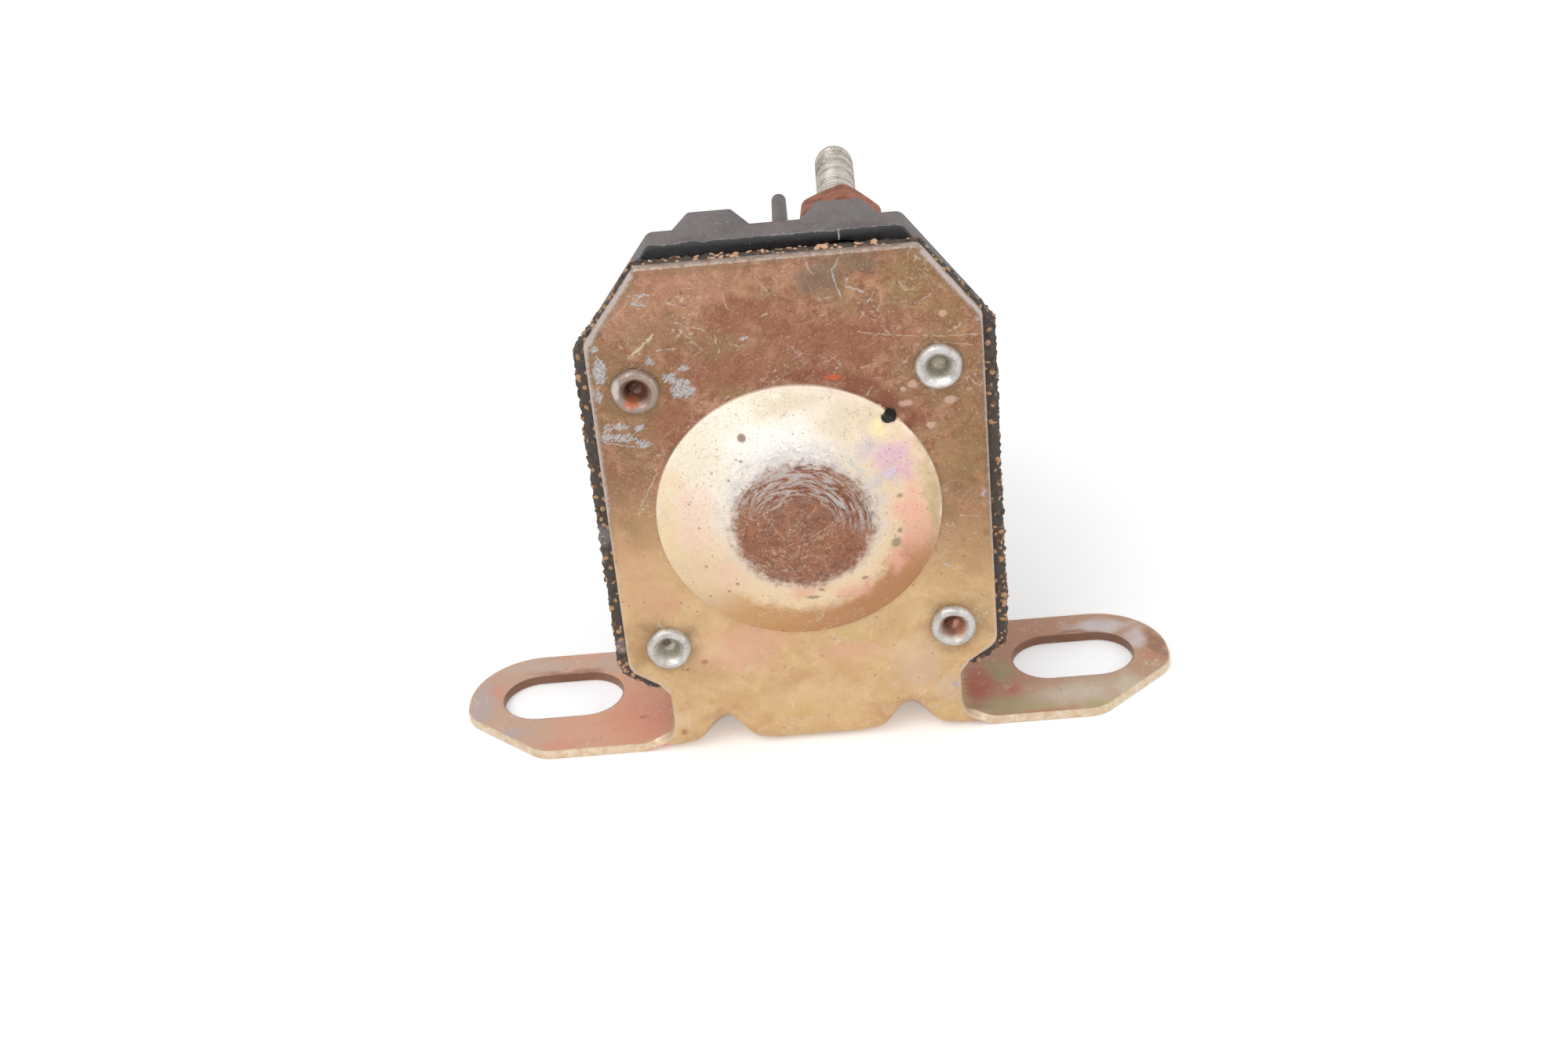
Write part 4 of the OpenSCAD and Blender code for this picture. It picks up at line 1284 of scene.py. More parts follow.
def millimetres_group():
    """Place on the part in millimetres about the plunger axis"""
    nodes, _, out = new_tree("Millimetres", "ShaderNodeTree", [], [("Place", VECTOR)])
    coord = nodes.add("ShaderNodeTexCoord")
    scaled = nodes.vector("SCALE", coord.outputs["Object"], scale=1000.0)
    nodes.put(out.inputs[0], nodes.vector("ADD", scaled, (0.0, SLOT_Y, -AXIS_H)))
    return nodes.tree


def blotches_group():
    """Soft stains: 1 inside, 0 outside"""
    nodes, given, out = mask_tree("Blotches", [
        ("Scale", FLOAT, 0.2), ("Detail", FLOAT, 4.0), ("Roughness", FLOAT, 0.6),
        ("Warp", FLOAT, 0.3), ("From", FLOAT, 0.45), ("To", FLOAT, 0.6),
    ])
    field = nodes.noise(
        given["Place"], given["Scale"], given["Detail"], given["Roughness"], given["Warp"])
    nodes.put(out.inputs[0], nodes.ramp(field, given["From"], given["To"]))
    return nodes.tree


def scratches_group():
    """Fine lines that run one way in patches"""
    nodes, given, out = mask_tree("Fine scratches", [
        ("Turn", FLOAT, 0.4), ("Length", FLOAT, 6.0), ("Spacing", FLOAT, 0.6),
        ("Width", FLOAT, 0.02), ("Patchy", FLOAT, 0.55),
    ])
    turned = nodes.add(
        "ShaderNodeVectorRotate", {"Vector": given["Place"], "Angle": given["Turn"]},
        rotation_type="Y_AXIS")
    x, y, z = nodes.split(turned.outputs[0])
    drawn = nodes.join(x / given["Length"], y * 0.3, z / given["Spacing"])
    field = nodes.noise(drawn, 1.0, 1.5, 0.5, 0.4)
    line = nodes.ramp(abs(field - 0.5), given["Width"], 0.0)
    where = nodes.noise(nodes.vector("ADD", given["Place"], (31.0, 7.0, 13.0)), 0.16, 3.0, 0.6)
    patch = nodes.ramp(where, given["Patchy"], given["Patchy"] + 0.12)
    broken = nodes.ramp(nodes.noise(given["Place"], 1.7, 1.0), 0.4, 0.56)
    nodes.put(out.inputs[0], line * patch * broken)
    return nodes.tree


def patch_group():
    """Rounded patch about a centre, in millimetres"""
    nodes, given, out = mask_tree("Patch", [
        ("Centre", VECTOR, None), ("Size", VECTOR, (1, 1, 1)), ("Soft", FLOAT, 0.3),
    ])
    away = nodes.vector(
        "DIVIDE", nodes.vector("SUBTRACT", given["Place"], given["Centre"]), given["Size"])
    reach = nodes.vector("LENGTH", away)
    nodes.put(out.inputs[0], nodes.ramp(reach, 1.0 + given["Soft"], 1.0 - given["Soft"]))
    return nodes.tree


def stroke_group():
    """Scrape between two points, in millimetres"""
    nodes, given, out = mask_tree("Stroke", [
        ("Start", VECTOR, None), ("End", VECTOR, (1, 0, 0)), ("Width", FLOAT, 0.3),
    ])
    run = nodes.vector("SUBTRACT", given["End"], given["Start"])
    here = nodes.vector("SUBTRACT", given["Place"], given["Start"])
    share = nodes.math(
        "DIVIDE", nodes.vector("DOT_PRODUCT", here, run), nodes.vector("DOT_PRODUCT", run, run),
        clamp=True)
    away = nodes.vector("SUBTRACT", here, nodes.vector("SCALE", run, scale=share))
    x, _, z = nodes.split(away)
    reach = nodes.vector("LENGTH", nodes.join(x, 0.0, z))
    nodes.put(out.inputs[0], nodes.ramp(reach / given["Width"], 1.15, 0.6))
    return nodes.tree


def specks_group():
    """Small separate dots"""
    nodes, given, out = mask_tree("Specks", [
        ("Scale", FLOAT, 1.0), ("Size", FLOAT, 0.2), ("Share", FLOAT, 0.3),
    ])
    cells = nodes.add("ShaderNodeTexVoronoi", {"Vector": given["Place"], "Scale": given["Scale"]})
    chance, size, _ = nodes.split(cells.outputs["Color"])
    dot = nodes.ramp(cells.outputs["Distance"], given["Size"] * (size + 0.3), 0.0)
    nodes.put(out.inputs[0], dot * (chance < given["Share"]))
    return nodes.tree


GROUP_MAKERS = {
    "Millimetres": millimetres_group, "Blotches": blotches_group,
    "Fine scratches": scratches_group, "Patch": patch_group,
    "Stroke": stroke_group, "Specks": specks_group,
}


def shared(name):
    return bpy.data.node_groups.get(name) or GROUP_MAKERS[name]()


class Finish(Tree):
    """Node tree of one material, with the part's millimetres to hand"""

    def __init__(self, name):
        self.material = bpy.data.materials.new(name)
        self.material.use_nodes = True
        super().__init__(self.material.node_tree)
        self.tree.nodes.clear()
        self.latest = self.colour = None
        self.place = self.add("ShaderNodeGroup", node_tree=shared("Millimetres")).outputs["Place"]

    def mask(self, name, **inputs):
        """Mask of a shared group, at the part's own place unless another is given"""
        node = self.add("ShaderNodeGroup", node_tree=shared(name))
        for key, value in {"Place": self.place, **inputs}.items():
            self.put(node.inputs[key], value)
        return Wire(self, node.outputs["Mask"])

    def in_turn(self, place):
        """Place for a mark, made to wait for the mark before it.

        The renderer can hold only so many values at once. A mark looks at x and z alone, so
        the mark before it can ride along as y.
        """
        if self.latest is None:
            return place
        return self.vector("ADD", place, self.join(0.0, self.latest, 0.0))

    def patches(self, place, rows, soft):
        """All patches of rows (x, z, half width, half height) as one mask"""
        made = 0.0
        for x, z, wide, high in rows:
            mask = self.mask(
                "Patch", Place=self.in_turn(place), Centre=(x, 0, z), Size=(wide, 1000, high),
                Soft=soft)
            made = self.latest = self.most(mask, made)
        return made

    def strokes(self, place, runs, width):
        """All strokes along lines of (x, z) as one mask"""
        thin = self.most(self.ramp(self.noise(place, 1.3, 2.0), 0.3, 0.6) * width, 0.02)
        made = 0.0
        for run in runs:
            for p, q in zip(run, run[1:]):
                mask = self.mask(
                    "Stroke", Place=self.in_turn(place), Start=(p[0], 0, p[1]),
                    End=(q[0], 0, q[1]), Width=thin)
                made = self.latest = self.most(mask, made)
        return made

    def moved(self, amount, scale=1.2):
        """Places that wander a little, for ragged edges"""
        field = self.noise(self.place, scale, 3.0, 0.6, colour=True)
        return self.vector("ADD", self.place, self.vector(
            "SCALE", self.vector("SUBTRACT", field, (0.5, 0.5, 0.5)), scale=amount))

    def lay(self, mask, *shade):
        """Lay a shade over the colour so far: a colour, or red, green and blue of 255"""
        self.colour = self.mix(mask, self.colour, *([tint(*shade)] if len(shade) == 3 else shade))

    def scratched(self, share, *shade):
        """Lay a shade in short fine scratches"""
        lines = self.mask("Fine scratches", Length=4.0, Spacing=0.35, Width=0.03, Patchy=0.4)
        self.lay(lines * share, *shade)

    def done(self, rough, metal, height):
        """The material, closed with its shader and its bumps"""
        shader = self.add("ShaderNodeBsdfPrincipled", {
            "Base Color": rgba(self.colour), "Roughness": rough, "Metallic": metal})
        bump = self.add("ShaderNodeBump", {"Height": height, "Distance": 0.001, "Strength": 1.0})
        self.put(shader.inputs["Normal"], bump)
        out = self.add("ShaderNodeOutputMaterial")
        self.put(out.inputs["Surface"], shader.outputs[0])
        return self.material


def settings(name):
    return getattr(bpy.context.scene, name)


def scaled(colour, share):
    """Colour made darker or lighter"""
    return tuple(min(1.0, c * share) for c in tuple(colour)[:3])


# Small spots: colour, strength, softness, then x, z, half width and half height
SPOTS = [
    ((200, 92, 48), 0.85, 0.4, [(5.4, 17.5, 0.9, 0.34)]),
    ((206, 172, 152), 0.75, 0.35, [
        (14.4, 15.7, 0.55, 0.5), (13.3, 15.2, 0.35, 0.3), (13.4, 13.3, 0.85, 0.4),
        (18.6, 13.3, 0.75, 0.45), (16.2, 10.2, 0.55, 0.45), (18.3, 24.4, 0.5, 0.4)]),
    ((150, 104, 70), 0.6, 0.4, [
        (-13.4, -20.4, 0.4, 0.35), (-17, -30.8, 0.45, 0.4), (22, -5, 0.4, 0.5),
        (-3.2, -16.6, 0.3, 0.3)]),
    ((130, 118, 98), 0.7, 0.4, [
        (11.2, -3.8, 0.6, 0.7), (11.7, -2.2, 0.3, 0.3), (12, 2.5, 0.35, 0.3),
        (7.2, -8.2, 0.4, 0.3), (0.8, -10.3, 0.8, 0.28), (1.9, -9.2, 0.3, 0.3)]),
]

# Marks across the face: colour, strength, width, then lines of x and z
MARKS = [
    ((208, 190, 160), 0.8, 0.3, [[(-17.6, 22.3), (-16, 23.5), (-14.9, 24.6)]]),
    ((200, 192, 190), 0.55, 0.13, [
        [(-14.4, 22.7), (-12.5, 22.8)], [(3.3, 32.5), (3.5, 31.4), (4, 30.6)],
        [(7.2, 32.6), (6.8, 31.8), (6.1, 30.9), (6.4, 29.5), (6.9, 27.6)],
        [(7.9, 29.8), (7.6, 28.8), (9.5, 27.9)], [(4.4, 27.4), (5.5, 27.6)],
        [(9.9, 26.6), (10.8, 27.8)], [(15.8, 26.3), (17, 26.9)],
        [(-18, 10.4), (-21.9, 11.3)], [(-17, 29.9), (-14.5, 29.7)], [(-16.6, 28.9), (-15.2, 28.5)],
        [(-12.8, 28.7), (-10.8, 27.8)], [(-18.4, -14), (-18, -15.6)], [(16.2, -25.6), (15, -27.4)],
        [(13.4, -25), (14.8, -25.8)]]),
    ((206, 190, 172), 0.5, 0.1, [
        [(-12.5, 26.2), (-8.8, 24.8)], [(-11.5, 25), (-9.2, 22.3)], [(-6.4, 29.3), (-5.8, 27)],
        [(8.5, 23), (12, 22.3), (15.5, 21.8), (22.5, 21.4)],
        [(-18.5, -22.8), (-15.5, -26.8)], [(-11.2, -23.5), (-11.5, -25.5)],
        [(-10, -23.6), (-8.7, -24.3)], [(19, -2.4), (21.3, -2.6)],
        [(9.8, 15.8), (9, 14.8)], [(8.6, 18.4), (9.8, 18.7)], [(-7.8, 24.2), (-7.4, 21.8)],
        [(-1.2, 28.8), (-2.6, 31)], [(-20.5, 26), (-17.2, 28.8)],
        [(17.2, 20.9), (21.4, 20.2)], [(-16.2, 6.8), (-18.6, 2.4)], [(16.8, -9), (19, -10.6)],
        [(4, -18.4), (9.4, -21)]]),
]

# Pits on the dome and its surround: x, z and half size
DOTS = [
    (-6.1, 9, 0.2), (-6.7, 9.2, 0.14), (-7.8, 6.7, 0.18), (-9.7, 7.5, 0.15), (-6.9, 2.2, 0.2),
    (-11.9, 0.3, 0.16), (-11.6, -5.2, 0.2),
    (-8.1, -7.7, 0.25), (-9.2, -9, 0.2), (-11.6, -10.2, 0.18), (-1, 29, 0.22), (-10.9, 29.7, 0.2),
    (-1.6, 28, 0.16), (-15.6, -21.4, 0.2), (-12.8, 3.4, 0.14),
]


def plated_sheet():
    plate = settings("solenoid_plate")
    f = Finish("plated_sheet")
    fine = f.moved(0.7, 1.4)
    x, y, z = f.split(f.place)
    wx = f.split(f.moved(1.8, 0.5))[0]
    front = y < 1.0
    broad = f.noise(f.place, 0.2, 6.0, 0.65, 0.5)
    medium = f.noise(f.vector("ADD", f.place, (9.0, 4.0, 17.0)), 0.7, 8.0, 0.74, 0.5)
    grain = f.noise(f.place, 3.4, 5.0, 0.75)

    # sound plating below, browned above
    f.colour = f.mix(f.ramp(broad, 0.4, 0.62) * 0.55, plate.plating, tint(198, 156, 108))
    f.lay(f.ramp(medium, 0.5, 0.66) * 0.4, 190, 152, 98)
    f.lay(f.ramp(medium, 0.46, 0.34) * 0.4, 232, 200, 160)
    brown = f.mix(f.ramp(medium, 0.42, 0.56), tint(140, 92, 66), plate.tarnish)
    brown = f.mix(f.ramp(medium, 0.55, 0.68) * 0.8, brown, tint(202, 158, 126))
    brown = f.mix(f.ramp(broad, 0.48, 0.6) * 0.45, brown, tint(146, 122, 82))
    edge = x * 0.13 + z + (medium - 0.5) * 14.0
    upper = f.ramp(edge, -12.5, 5.5)
    f.lay(upper, brown)
    # dome: a painted highlight on the upper left of its flank and a painted glint along its foot,
    # painted shade on its lower flank
    radius = f.most(f.vector("LENGTH", f.join(x, 0.0, z)), 0.01)
    across, upward = x / radius, z / radius
    # painted highlight: the flank turns near white where it faces the upper left
    lit_side = upward * 0.89 - across * 0.45
    flank = f.mix(f.ramp(lit_side, 0.0, 1.0), plate.dome_colour, tint(250, 240, 224))
    # painted shade: the lower flank darkens to golden brown where it faces down
    below = across * 0.3 - upward * 0.95
    lower_flank_shade = f.ramp((medium - 0.5) * 5.0 + radius, 10.8, 13.6) * f.ramp(below, 0.2, 0.75)
    flank = f.mix(lower_flank_shade * 0.9, flank, f.mix(
        f.ramp(x, -9.0, 8.0), tint(198, 148, 92), tint(176, 116, 66)))
    glint = f.ramp(abs(radius - 16.75), 0.28, 0.08) * f.ramp(across + upward, 0.4, 1.2)
    flank = f.mix(glint * 0.7, flank, tint(250, 222, 212))
    f.lay(f.ramp(radius, 17.1, 16.95) * front, flank)
    # ears
    on_ear = f.ramp(z, -30.5, -32.0) * f.ramp(abs(x), 18.2, 20.5)
    left = f.mix(f.ramp(wx, -31.0, -37.0), plate.ear_left, tint(204, 166, 144))
    right = f.mix(f.ramp(wx, 30.0, 37.0), plate.ear_right, tint(186, 148, 122))
    ear = f.mix(x > 0.0, left, right)
    ear = f.mix(f.ramp(medium, 0.52, 0.7) * 0.3, ear, tint(190, 166, 152))
    f.lay(on_ear * 0.9, ear)
    # stains and tints from the mesh, with the painted highlight on the dome and the painted sheen
    # on the right ear
    uneven = medium * 1.1 + 0.5
    shade = f.attribute("stain", "Vector")
    cover = f.math("MULTIPLY", f.attribute("stained"), uneven, clamp=True)
    under = f.vector("SCALE", f.colour, scale=1.0 - cover)
    f.colour = f.vector("ADD", under, f.vector("SCALE", shade, scale=uneven))
    # rusted cap, its rubbed halo and the arcs worn round it
    swept = f.join(across * 1.7, upward * 1.7, radius * 1.9)
    arcs = f.noise(swept, 1.3, 7.0, 0.76, 0.9)
    uneven_rim = f.noise(f.place, 1.1, 7.0, 0.75) - 0.5
    ragged = uneven_rim * 4.6 + f.vector("LENGTH", f.join(x - 0.4, 0.0, z))
    halo = f.ramp(ragged - z * 0.12, 10.9, 8.6) * front
    rubbed = f.mask("Blotches", Scale=1.7, Detail=7.0, Roughness=0.75, Warp=1.2, From=0.4, To=0.6)
    f.lay(halo * (rubbed * 0.66 + 0.14), 216, 211, 210)
    cap = f.ramp(ragged, 9.2, 7.3) * front
    rust = f.mix(
        f.ramp(f.noise(f.place, 1.5, 8.0, 0.85), 0.36, 0.54), tint(104, 58, 38), plate.rust)
    rust = f.mix(f.ramp(grain, 0.55, 0.68) * 0.65, rust, tint(204, 154, 116))
    rust = f.mix(f.ramp(broad, 0.46, 0.58) * 0.45, rust, tint(112, 60, 42))
    f.lay(cap * 0.95, rust)
    top = f.ramp(x * 0.3 + z, -0.6, 4.0) * front
    dark = f.ramp(arcs, 0.5, 0.4) * f.ramp(radius, 3.0, 4.6) * f.ramp(ragged, 9.6, 7.6) * top
    f.lay(dark * 0.8, 116, 64, 46)
    pale = f.ramp(arcs, 0.48, 0.56) * f.ramp(radius, 3.2, 5.4) * f.ramp(ragged, 11.4, 8.6) * top
    f.lay(pale * 0.8, 202, 196, 194)
    # grain, flecks and fine scratches
    fleck = (upper * 0.45 + 0.25) * (1.0 - on_ear * 0.6)
    f.lay(f.ramp(grain, 0.56, 0.68) * fleck, 224, 196, 168)
    f.lay(f.ramp(grain, 0.44, 0.32) * fleck, 104, 70, 50)
    pits = f.mask("Specks", Scale=1.1, Size=0.2, Share=0.3)
    f.lay(pits * 0.6, 86, 60, 44)
    lines = f.most(
        f.mask("Fine scratches", Turn=0.5, Length=9.0, Spacing=0.7, Width=0.016, Patchy=0.46),
        f.mask("Fine scratches", Turn=2.2, Length=7.0, Spacing=0.8, Width=0.014, Patchy=0.5),
        f.mask("Fine scratches", Turn=1.3, Length=6.0, Spacing=1.1, Width=0.012, Patchy=0.5),
        f.mask("Fine scratches", Turn=-0.2, Length=5.0, Spacing=0.6, Width=0.016, Patchy=0.52),
    )
    f.lay(lines * 0.5, 226, 208, 190)
    for shade, strength, width, runs in MARKS:
        strokes = f.strokes(fine, runs, width)
        f.lay(strokes * strength, *shade)
    for shade, strength, soft, rows in SPOTS:
        f.lay(f.patches(fine, rows, soft) * front * strength, *shade)
    turned = f.add(
        "ShaderNodeVectorRotate", {"Vector": f.place, "Angle": 0.75}, rotation_type="Y_AXIS")
    sx, _, sz = f.split(turned.outputs[0])
    streaks = f.noise(f.join(sx * 0.6, 0.0, sz * 2.4), 1.0, 6.0, 0.74, 0.3)
    scraped = f.attribute("scraped")
    scrape = f.ramp(scraped * 0.36 + streaks, 0.71, 0.79) * f.ramp(scraped, 0.0, 0.2)
    scrape *= f.ramp(grain, 0.3, 0.46)
    f.lay(scrape * 0.9, f.mix(f.ramp(grain, 0.35, 0.65), tint(146, 140, 142), tint(206, 201, 199)))
    # worn edges, partly a painted highlight along the rounded rim, widest on the top chamfers and
    # the upper left side
    rim = f.attribute("rim")
    chamfer = f.ramp(z, 22.0, 25.0) * f.ramp(z, 32.9, 32.2)
    side = f.ramp(x, -21.0, -22.0) * f.ramp(z, 0.0, 3.0)
    width = chamfer * 0.34 + side * 0.26 + 0.06
    width = (width - f.ramp(z, 32.0, 32.5) * 0.2) * f.ramp(z, -14.0, -4.0)
    width = f.most(width, f.ramp(z, -18.5, -20.5) * f.ramp(z, -25.5, -24.5) * 0.3)
    away = (f.noise(f.place, 1.5, 8.0, 0.78) - 0.5) * 1.7 + rim
    # light band along the rim: wear on the edge with a painted highlight on it
    worn_and_lit_edge = f.ramp(away - width, 0.34, -0.3)
    f.lay(f.ramp(away - width, 0.9, 0.1) * upper * 0.45, 118, 98, 72)
    f.lay(worn_and_lit_edge * (0.78 - on_ear * 0.7), f.mix(grain, tint(168, 154, 152), tint(228, 216, 206)))
    slots = [
        f.mask("Patch", Centre=(cx, SLOT_Y, -AXIS_H), Size=(9, 6, 50), Soft=0.08)
        for cx in (-SLOT_X, SLOT_X)
    ]
    cut = f.mix(
        f.most(*slots),
        f.mix(f.ramp(medium, 0.36, 0.66), tint(214, 186, 148), tint(238, 224, 200)),
        tint(128, 86, 66))
    f.lay(f.ramp(rim, 0.2, 0.06) * on_ear * 0.85, cut)
    blob = f.mask(
        "Patch", Place=f.place, Centre=(BLOB[0], -1.2, BLOB[1]), Size=(0.95, 3, 0.8), Soft=0.12)
    f.lay(blob, 30, 30, 26)
    ring = f.mask("Patch", Centre=(-5.8, 0, 11.7), Size=(0.52, 9, 0.52), Soft=0.3)
    f.lay(ring * (grain * 0.6 + 0.5), 132, 88, 66)
    dots = f.patches(f.place, [(px, pz, size, size) for px, pz, size in DOTS], 0.5)
    f.lay(dots * 0.6, 110, 84, 66)
    rough = cap * 0.3 + medium * 0.2 + 0.3
    metal = 0.4 - cap * 0.3
    height = f.noise(f.place, 2.6, 6.0, 0.65) * (cap * 0.1 + upper * 0.03 + 0.02)
    height += f.noise(f.place, 0.35, 2.0) * 0.12
    height -= f.most(scrape, lines) * 0.02
    return f.done(rough, metal, height)


def cork_gasket():
    gasket = settings("solenoid_gasket")
    f = Finish("cork_gasket")
    x, _, z = f.split(f.place)
    grain = f.attribute("grain")
    dark = f.mix(
        f.noise(f.place, 2.2, 5.0, 0.7), scaled(gasket.binder, 0.6), scaled(gasket.binder, 2.7))
    cork = f.mix(f.noise(f.place, 3.0, 4.0), scaled(gasket.cork, 1.15), scaled(gasket.cork, 0.5))
    cork = f.mix(f.ramp(z, 31.6, 32.4) * 0.7, cork, tint(240, 190, 156))
    rows = f.most(
        f.ramp(z, 31.8, 32.4) * f.ramp(x, -14.0, -10.0) * f.ramp(x, 14.0, 8.0),
        f.mask("Patch", Centre=(-21, 0, 27.5), Size=(3.4, 9, 3.6), Soft=0.3),
        f.ramp(x, 14.0, 18.0) * f.ramp(z, 20.0, 24.0) * 0.6, f.ramp(z, 16.0, 12.0) * 0.45)
    bar = 0.7 - rows * 0.34
    over = grain - bar
    f.colour = f.mix(f.ramp(over, -0.34, -0.26) * 0.75, dark, tint(124, 94, 74))
    f.lay(f.ramp(over, -0.02, 0.02), cork)
    scuffs = f.most(
        f.mask("Patch", Place=f.moved(1.0), Centre=(-24, 0, -2), Size=(1.6, 9, 1.3), Soft=0.4),
        f.mask("Patch", Place=f.moved(1.0), Centre=(-23.4, 0, -18), Size=(0.9, 9, 1.0), Soft=0.4))
    f.lay(scuffs * 0.6, 150, 144, 148)
    height = f.noise(f.place, 4.0, 5.0, 0.65) * 0.12
    return f.done(0.82, 0.0, height)


def moulded_housing():
    housing = settings("solenoid_housing")
    f = Finish("moulded_housing")
    _, y, z = f.split(f.place)
    field = f.noise(f.place, 0.55, 6.0, 0.7)
    # outer faces: dust and painted top light
    lit_dull = f.mix(
        f.mask("Blotches", Scale=0.25, Detail=7.0, Roughness=0.7, From=0.4, To=0.66),
        housing.lit_and_dusty, scaled(housing.lit_and_dusty, 0.7))
    lit_dull = f.mix(
        f.mask("Blotches", Scale=1.6, Detail=7.0, Roughness=0.75, From=0.52, To=0.7), lit_dull,
        scaled(housing.lit_and_dusty, 1.3))
    lit_dull = f.mix(
        f.mask("Blotches", Scale=0.5, Detail=6.0, From=0.55, To=0.7) * 0.35, lit_dull,
        tint(132, 112, 98))
    into = (field - 0.5) * 2.6 + y
    strip = f.ramp(into, 4.1, 3.8) * f.ramp(z, 22.0, 26.0)
    lip = f.ramp(abs(into - 4.1), 0.16, 0.04) * f.ramp(z, 33.0, 33.6)
    # the strip above the gasket takes the darker copy as painted shade
    f.colour = f.mix(strip, lit_dull, housing.glossy)
    f.lay(lip * 0.5, 168, 160, 156)
    dust = f.most(f.mask("Specks", Scale=0.9, Size=0.13, Share=0.4), f.mask(
        "Specks", Scale=2.1, Size=0.16, Share=0.2))
    f.lay(dust * 0.8, 228, 222, 212)
    brown = f.mask(
        "Patch", Place=f.moved(0.9, 1.2), Centre=(-0.5, 8, 34), Size=(1.1, 0.7, 0.6), Soft=0.4)
    f.lay(brown * 0.7, 124, 82, 64)
    crack = f.mask(
        "Stroke", Place=f.moved(0.4, 1.4), Start=(7.2, 0, 33.2), End=(7.3, 0, 34.6), Width=0.09)
    f.lay(crack * (y < 4.1) * 0.6, 206, 202, 196)
    rough = 0.64 - strip * 0.12
    height = f.noise(f.place, 1.8, 6.0, 0.65) * 0.07
    height = lip * 0.05 + height
    return f.done(rough, 0.0, height)


def worn_metal(name, base, second, stain, rough=0.38, metal=0.8, stained=0.4, pitted=0.02):
    """Metal with a second shade in blotches, stains in spots and fine scratches"""
    f = Finish(name)
    blotch = f.mask("Blotches", Scale=0.6, Detail=6.0, Warp=0.5, From=0.4, To=0.64)
    spots = f.mask("Blotches", Scale=1.62, Detail=6.0, Roughness=0.7, From=0.5, To=0.66)
    f.colour = f.mix(blotch, base, second)
    f.lay(spots * stained, stain)
    f.scratched(0.35, scaled(base, 1.25))
    height = f.noise(f.place, 3.2, 5.0, 0.65) * pitted
    return f.done(spots * 0.2 + rough, metal, height)


# Each rivet's ring, then its cup: place, colour, half size and strength
RIVET_SHADES = [
    ((-17.5, -0.6, 17.85), (152, 130, 116), (3.2, 2.4, 3.2), 0.9),
    ((-17.5, 0.6, 17.85), (138, 96, 74), (1.6, 3.6, 1.6), 0.9),
    ((-17.9, 0.9, 17.95), (70, 42, 32), (0.85, 3.6, 0.85), 0.95),
    ((-18.1, -0.4, 16.5), (198, 116, 76), (0.9, 1.6, 0.6), 0.8),
    ((-19.7, -0.9, 18.6), (214, 206, 200), (0.5, 1.4, 1.3), 0.7),
    ((17.5, 0.6, 17.85), (166, 158, 134), (1.4, 3.6, 1.4), 0.8),
    ((17.4, -0.9, 16.1), (240, 238, 234), (1.5, 1.2, 0.45), 0.7),
    ((-17.5, 0.8, -17.85), (190, 184, 164), (1.5, 3.6, 1.5), 0.8),
    ((-17.9, 1.8, -17.9), (86, 60, 46), (0.7, 1.2, 0.7), 0.85),
    ((17.5, 0.6, -17.85), (166, 122, 102), (1.6, 3.6, 1.6), 0.85),
    ((17.3, 0.9, -17.7), (88, 50, 38), (0.95, 3.6, 0.95), 0.95),
    ((18.2, 0.3, -18.5), (226, 164, 136), (0.8, 1.8, 0.7), 0.85),
]


def rivet_steel():
    f = Finish("rivet_steel")
    blotch = f.mask("Blotches", Scale=0.9, Detail=6.0, Warp=0.5, From=0.4, To=0.64)
    spots = f.mask("Blotches", Scale=2.4, Detail=7.0, Roughness=0.75, From=0.5, To=0.66)
    f.colour = f.mix(blotch, tint(206, 204, 200), tint(184, 178, 172))
    place = f.moved(0.5, 1.6)
    for centre, shade, size, strength in RIVET_SHADES:
        f.lay(f.mask("Patch", Place=place, Centre=centre, Size=size, Soft=0.3) * strength, *shade)
    f.lay(spots * 0.35, 128, 100, 82)
    f.scratched(0.35, 240, 238, 234)
    height = f.noise(f.place, 3.2, 5.0, 0.65) * 0.05
    return f.done(spots * 0.2 + 0.34, 0.5, height)


def plated_hardware():
    hardware = settings("solenoid_hardware")
    f = Finish("plated_hardware")
    x, y, z = f.split(f.place)
    bands = f.noise(f.join(x * 0.12, y * 0.7, z * 0.12), 1.0, 5.0, 0.7, 0.3)
    spots = f.mask("Blotches", Scale=1.6, Detail=6.0, Roughness=0.7, From=0.5, To=0.66)
    f.colour = f.mix(f.ramp(bands, 0.42, 0.6), hardware.zinc, tint(158, 148, 136))
    f.lay(f.ramp(bands, 0.56, 0.66) * 0.6, 140, 118, 92)
    f.lay(f.ramp(y, 36.4, 38.6) * 0.6, 196, 178, 142)
    f.lay(spots * 0.4, 128, 116, 104)
    f.scratched(0.4, 232, 228, 222)
    height = f.noise(f.place, 3.2, 5.0, 0.65) * 0.03
    return f.done(spots * 0.2 + 0.4, 0.5, height)


def metals(name):
    """Worn metal: two shades and the stain, then roughness, metal, stains' strength, pits"""
    hardware = settings("solenoid_hardware")
    copper, brass, steel = hardware.copper, hardware.brass, hardware.steel
    return worn_metal(name, *{
        "copper": (copper, scaled(copper, 0.7), tint(96, 70, 56), 0.36, 0.85),
        "brass_nut": (brass, scaled(brass, 0.75), tint(108, 86, 56), 0.34, 0.8),
        "brass_tube": (brass, scaled(brass, 0.85), tint(120, 96, 60), 0.24, 0.9, 0.3, 0.01),
        "rusty_nut": (
            hardware.nut_rust, tint(122, 68, 52), tint(196, 140, 112), 0.6, 0.3, 0.5, 0.06),
        "bare_steel": (steel, scaled(steel, 0.8), tint(112, 100, 90), 0.36, 0.85, 0.3),
        "spring_steel": (
            scaled(steel, 0.9), scaled(steel, 0.6), tint(104, 88, 74), 0.32, 0.9, 0.3, 0.01),
    }[name])


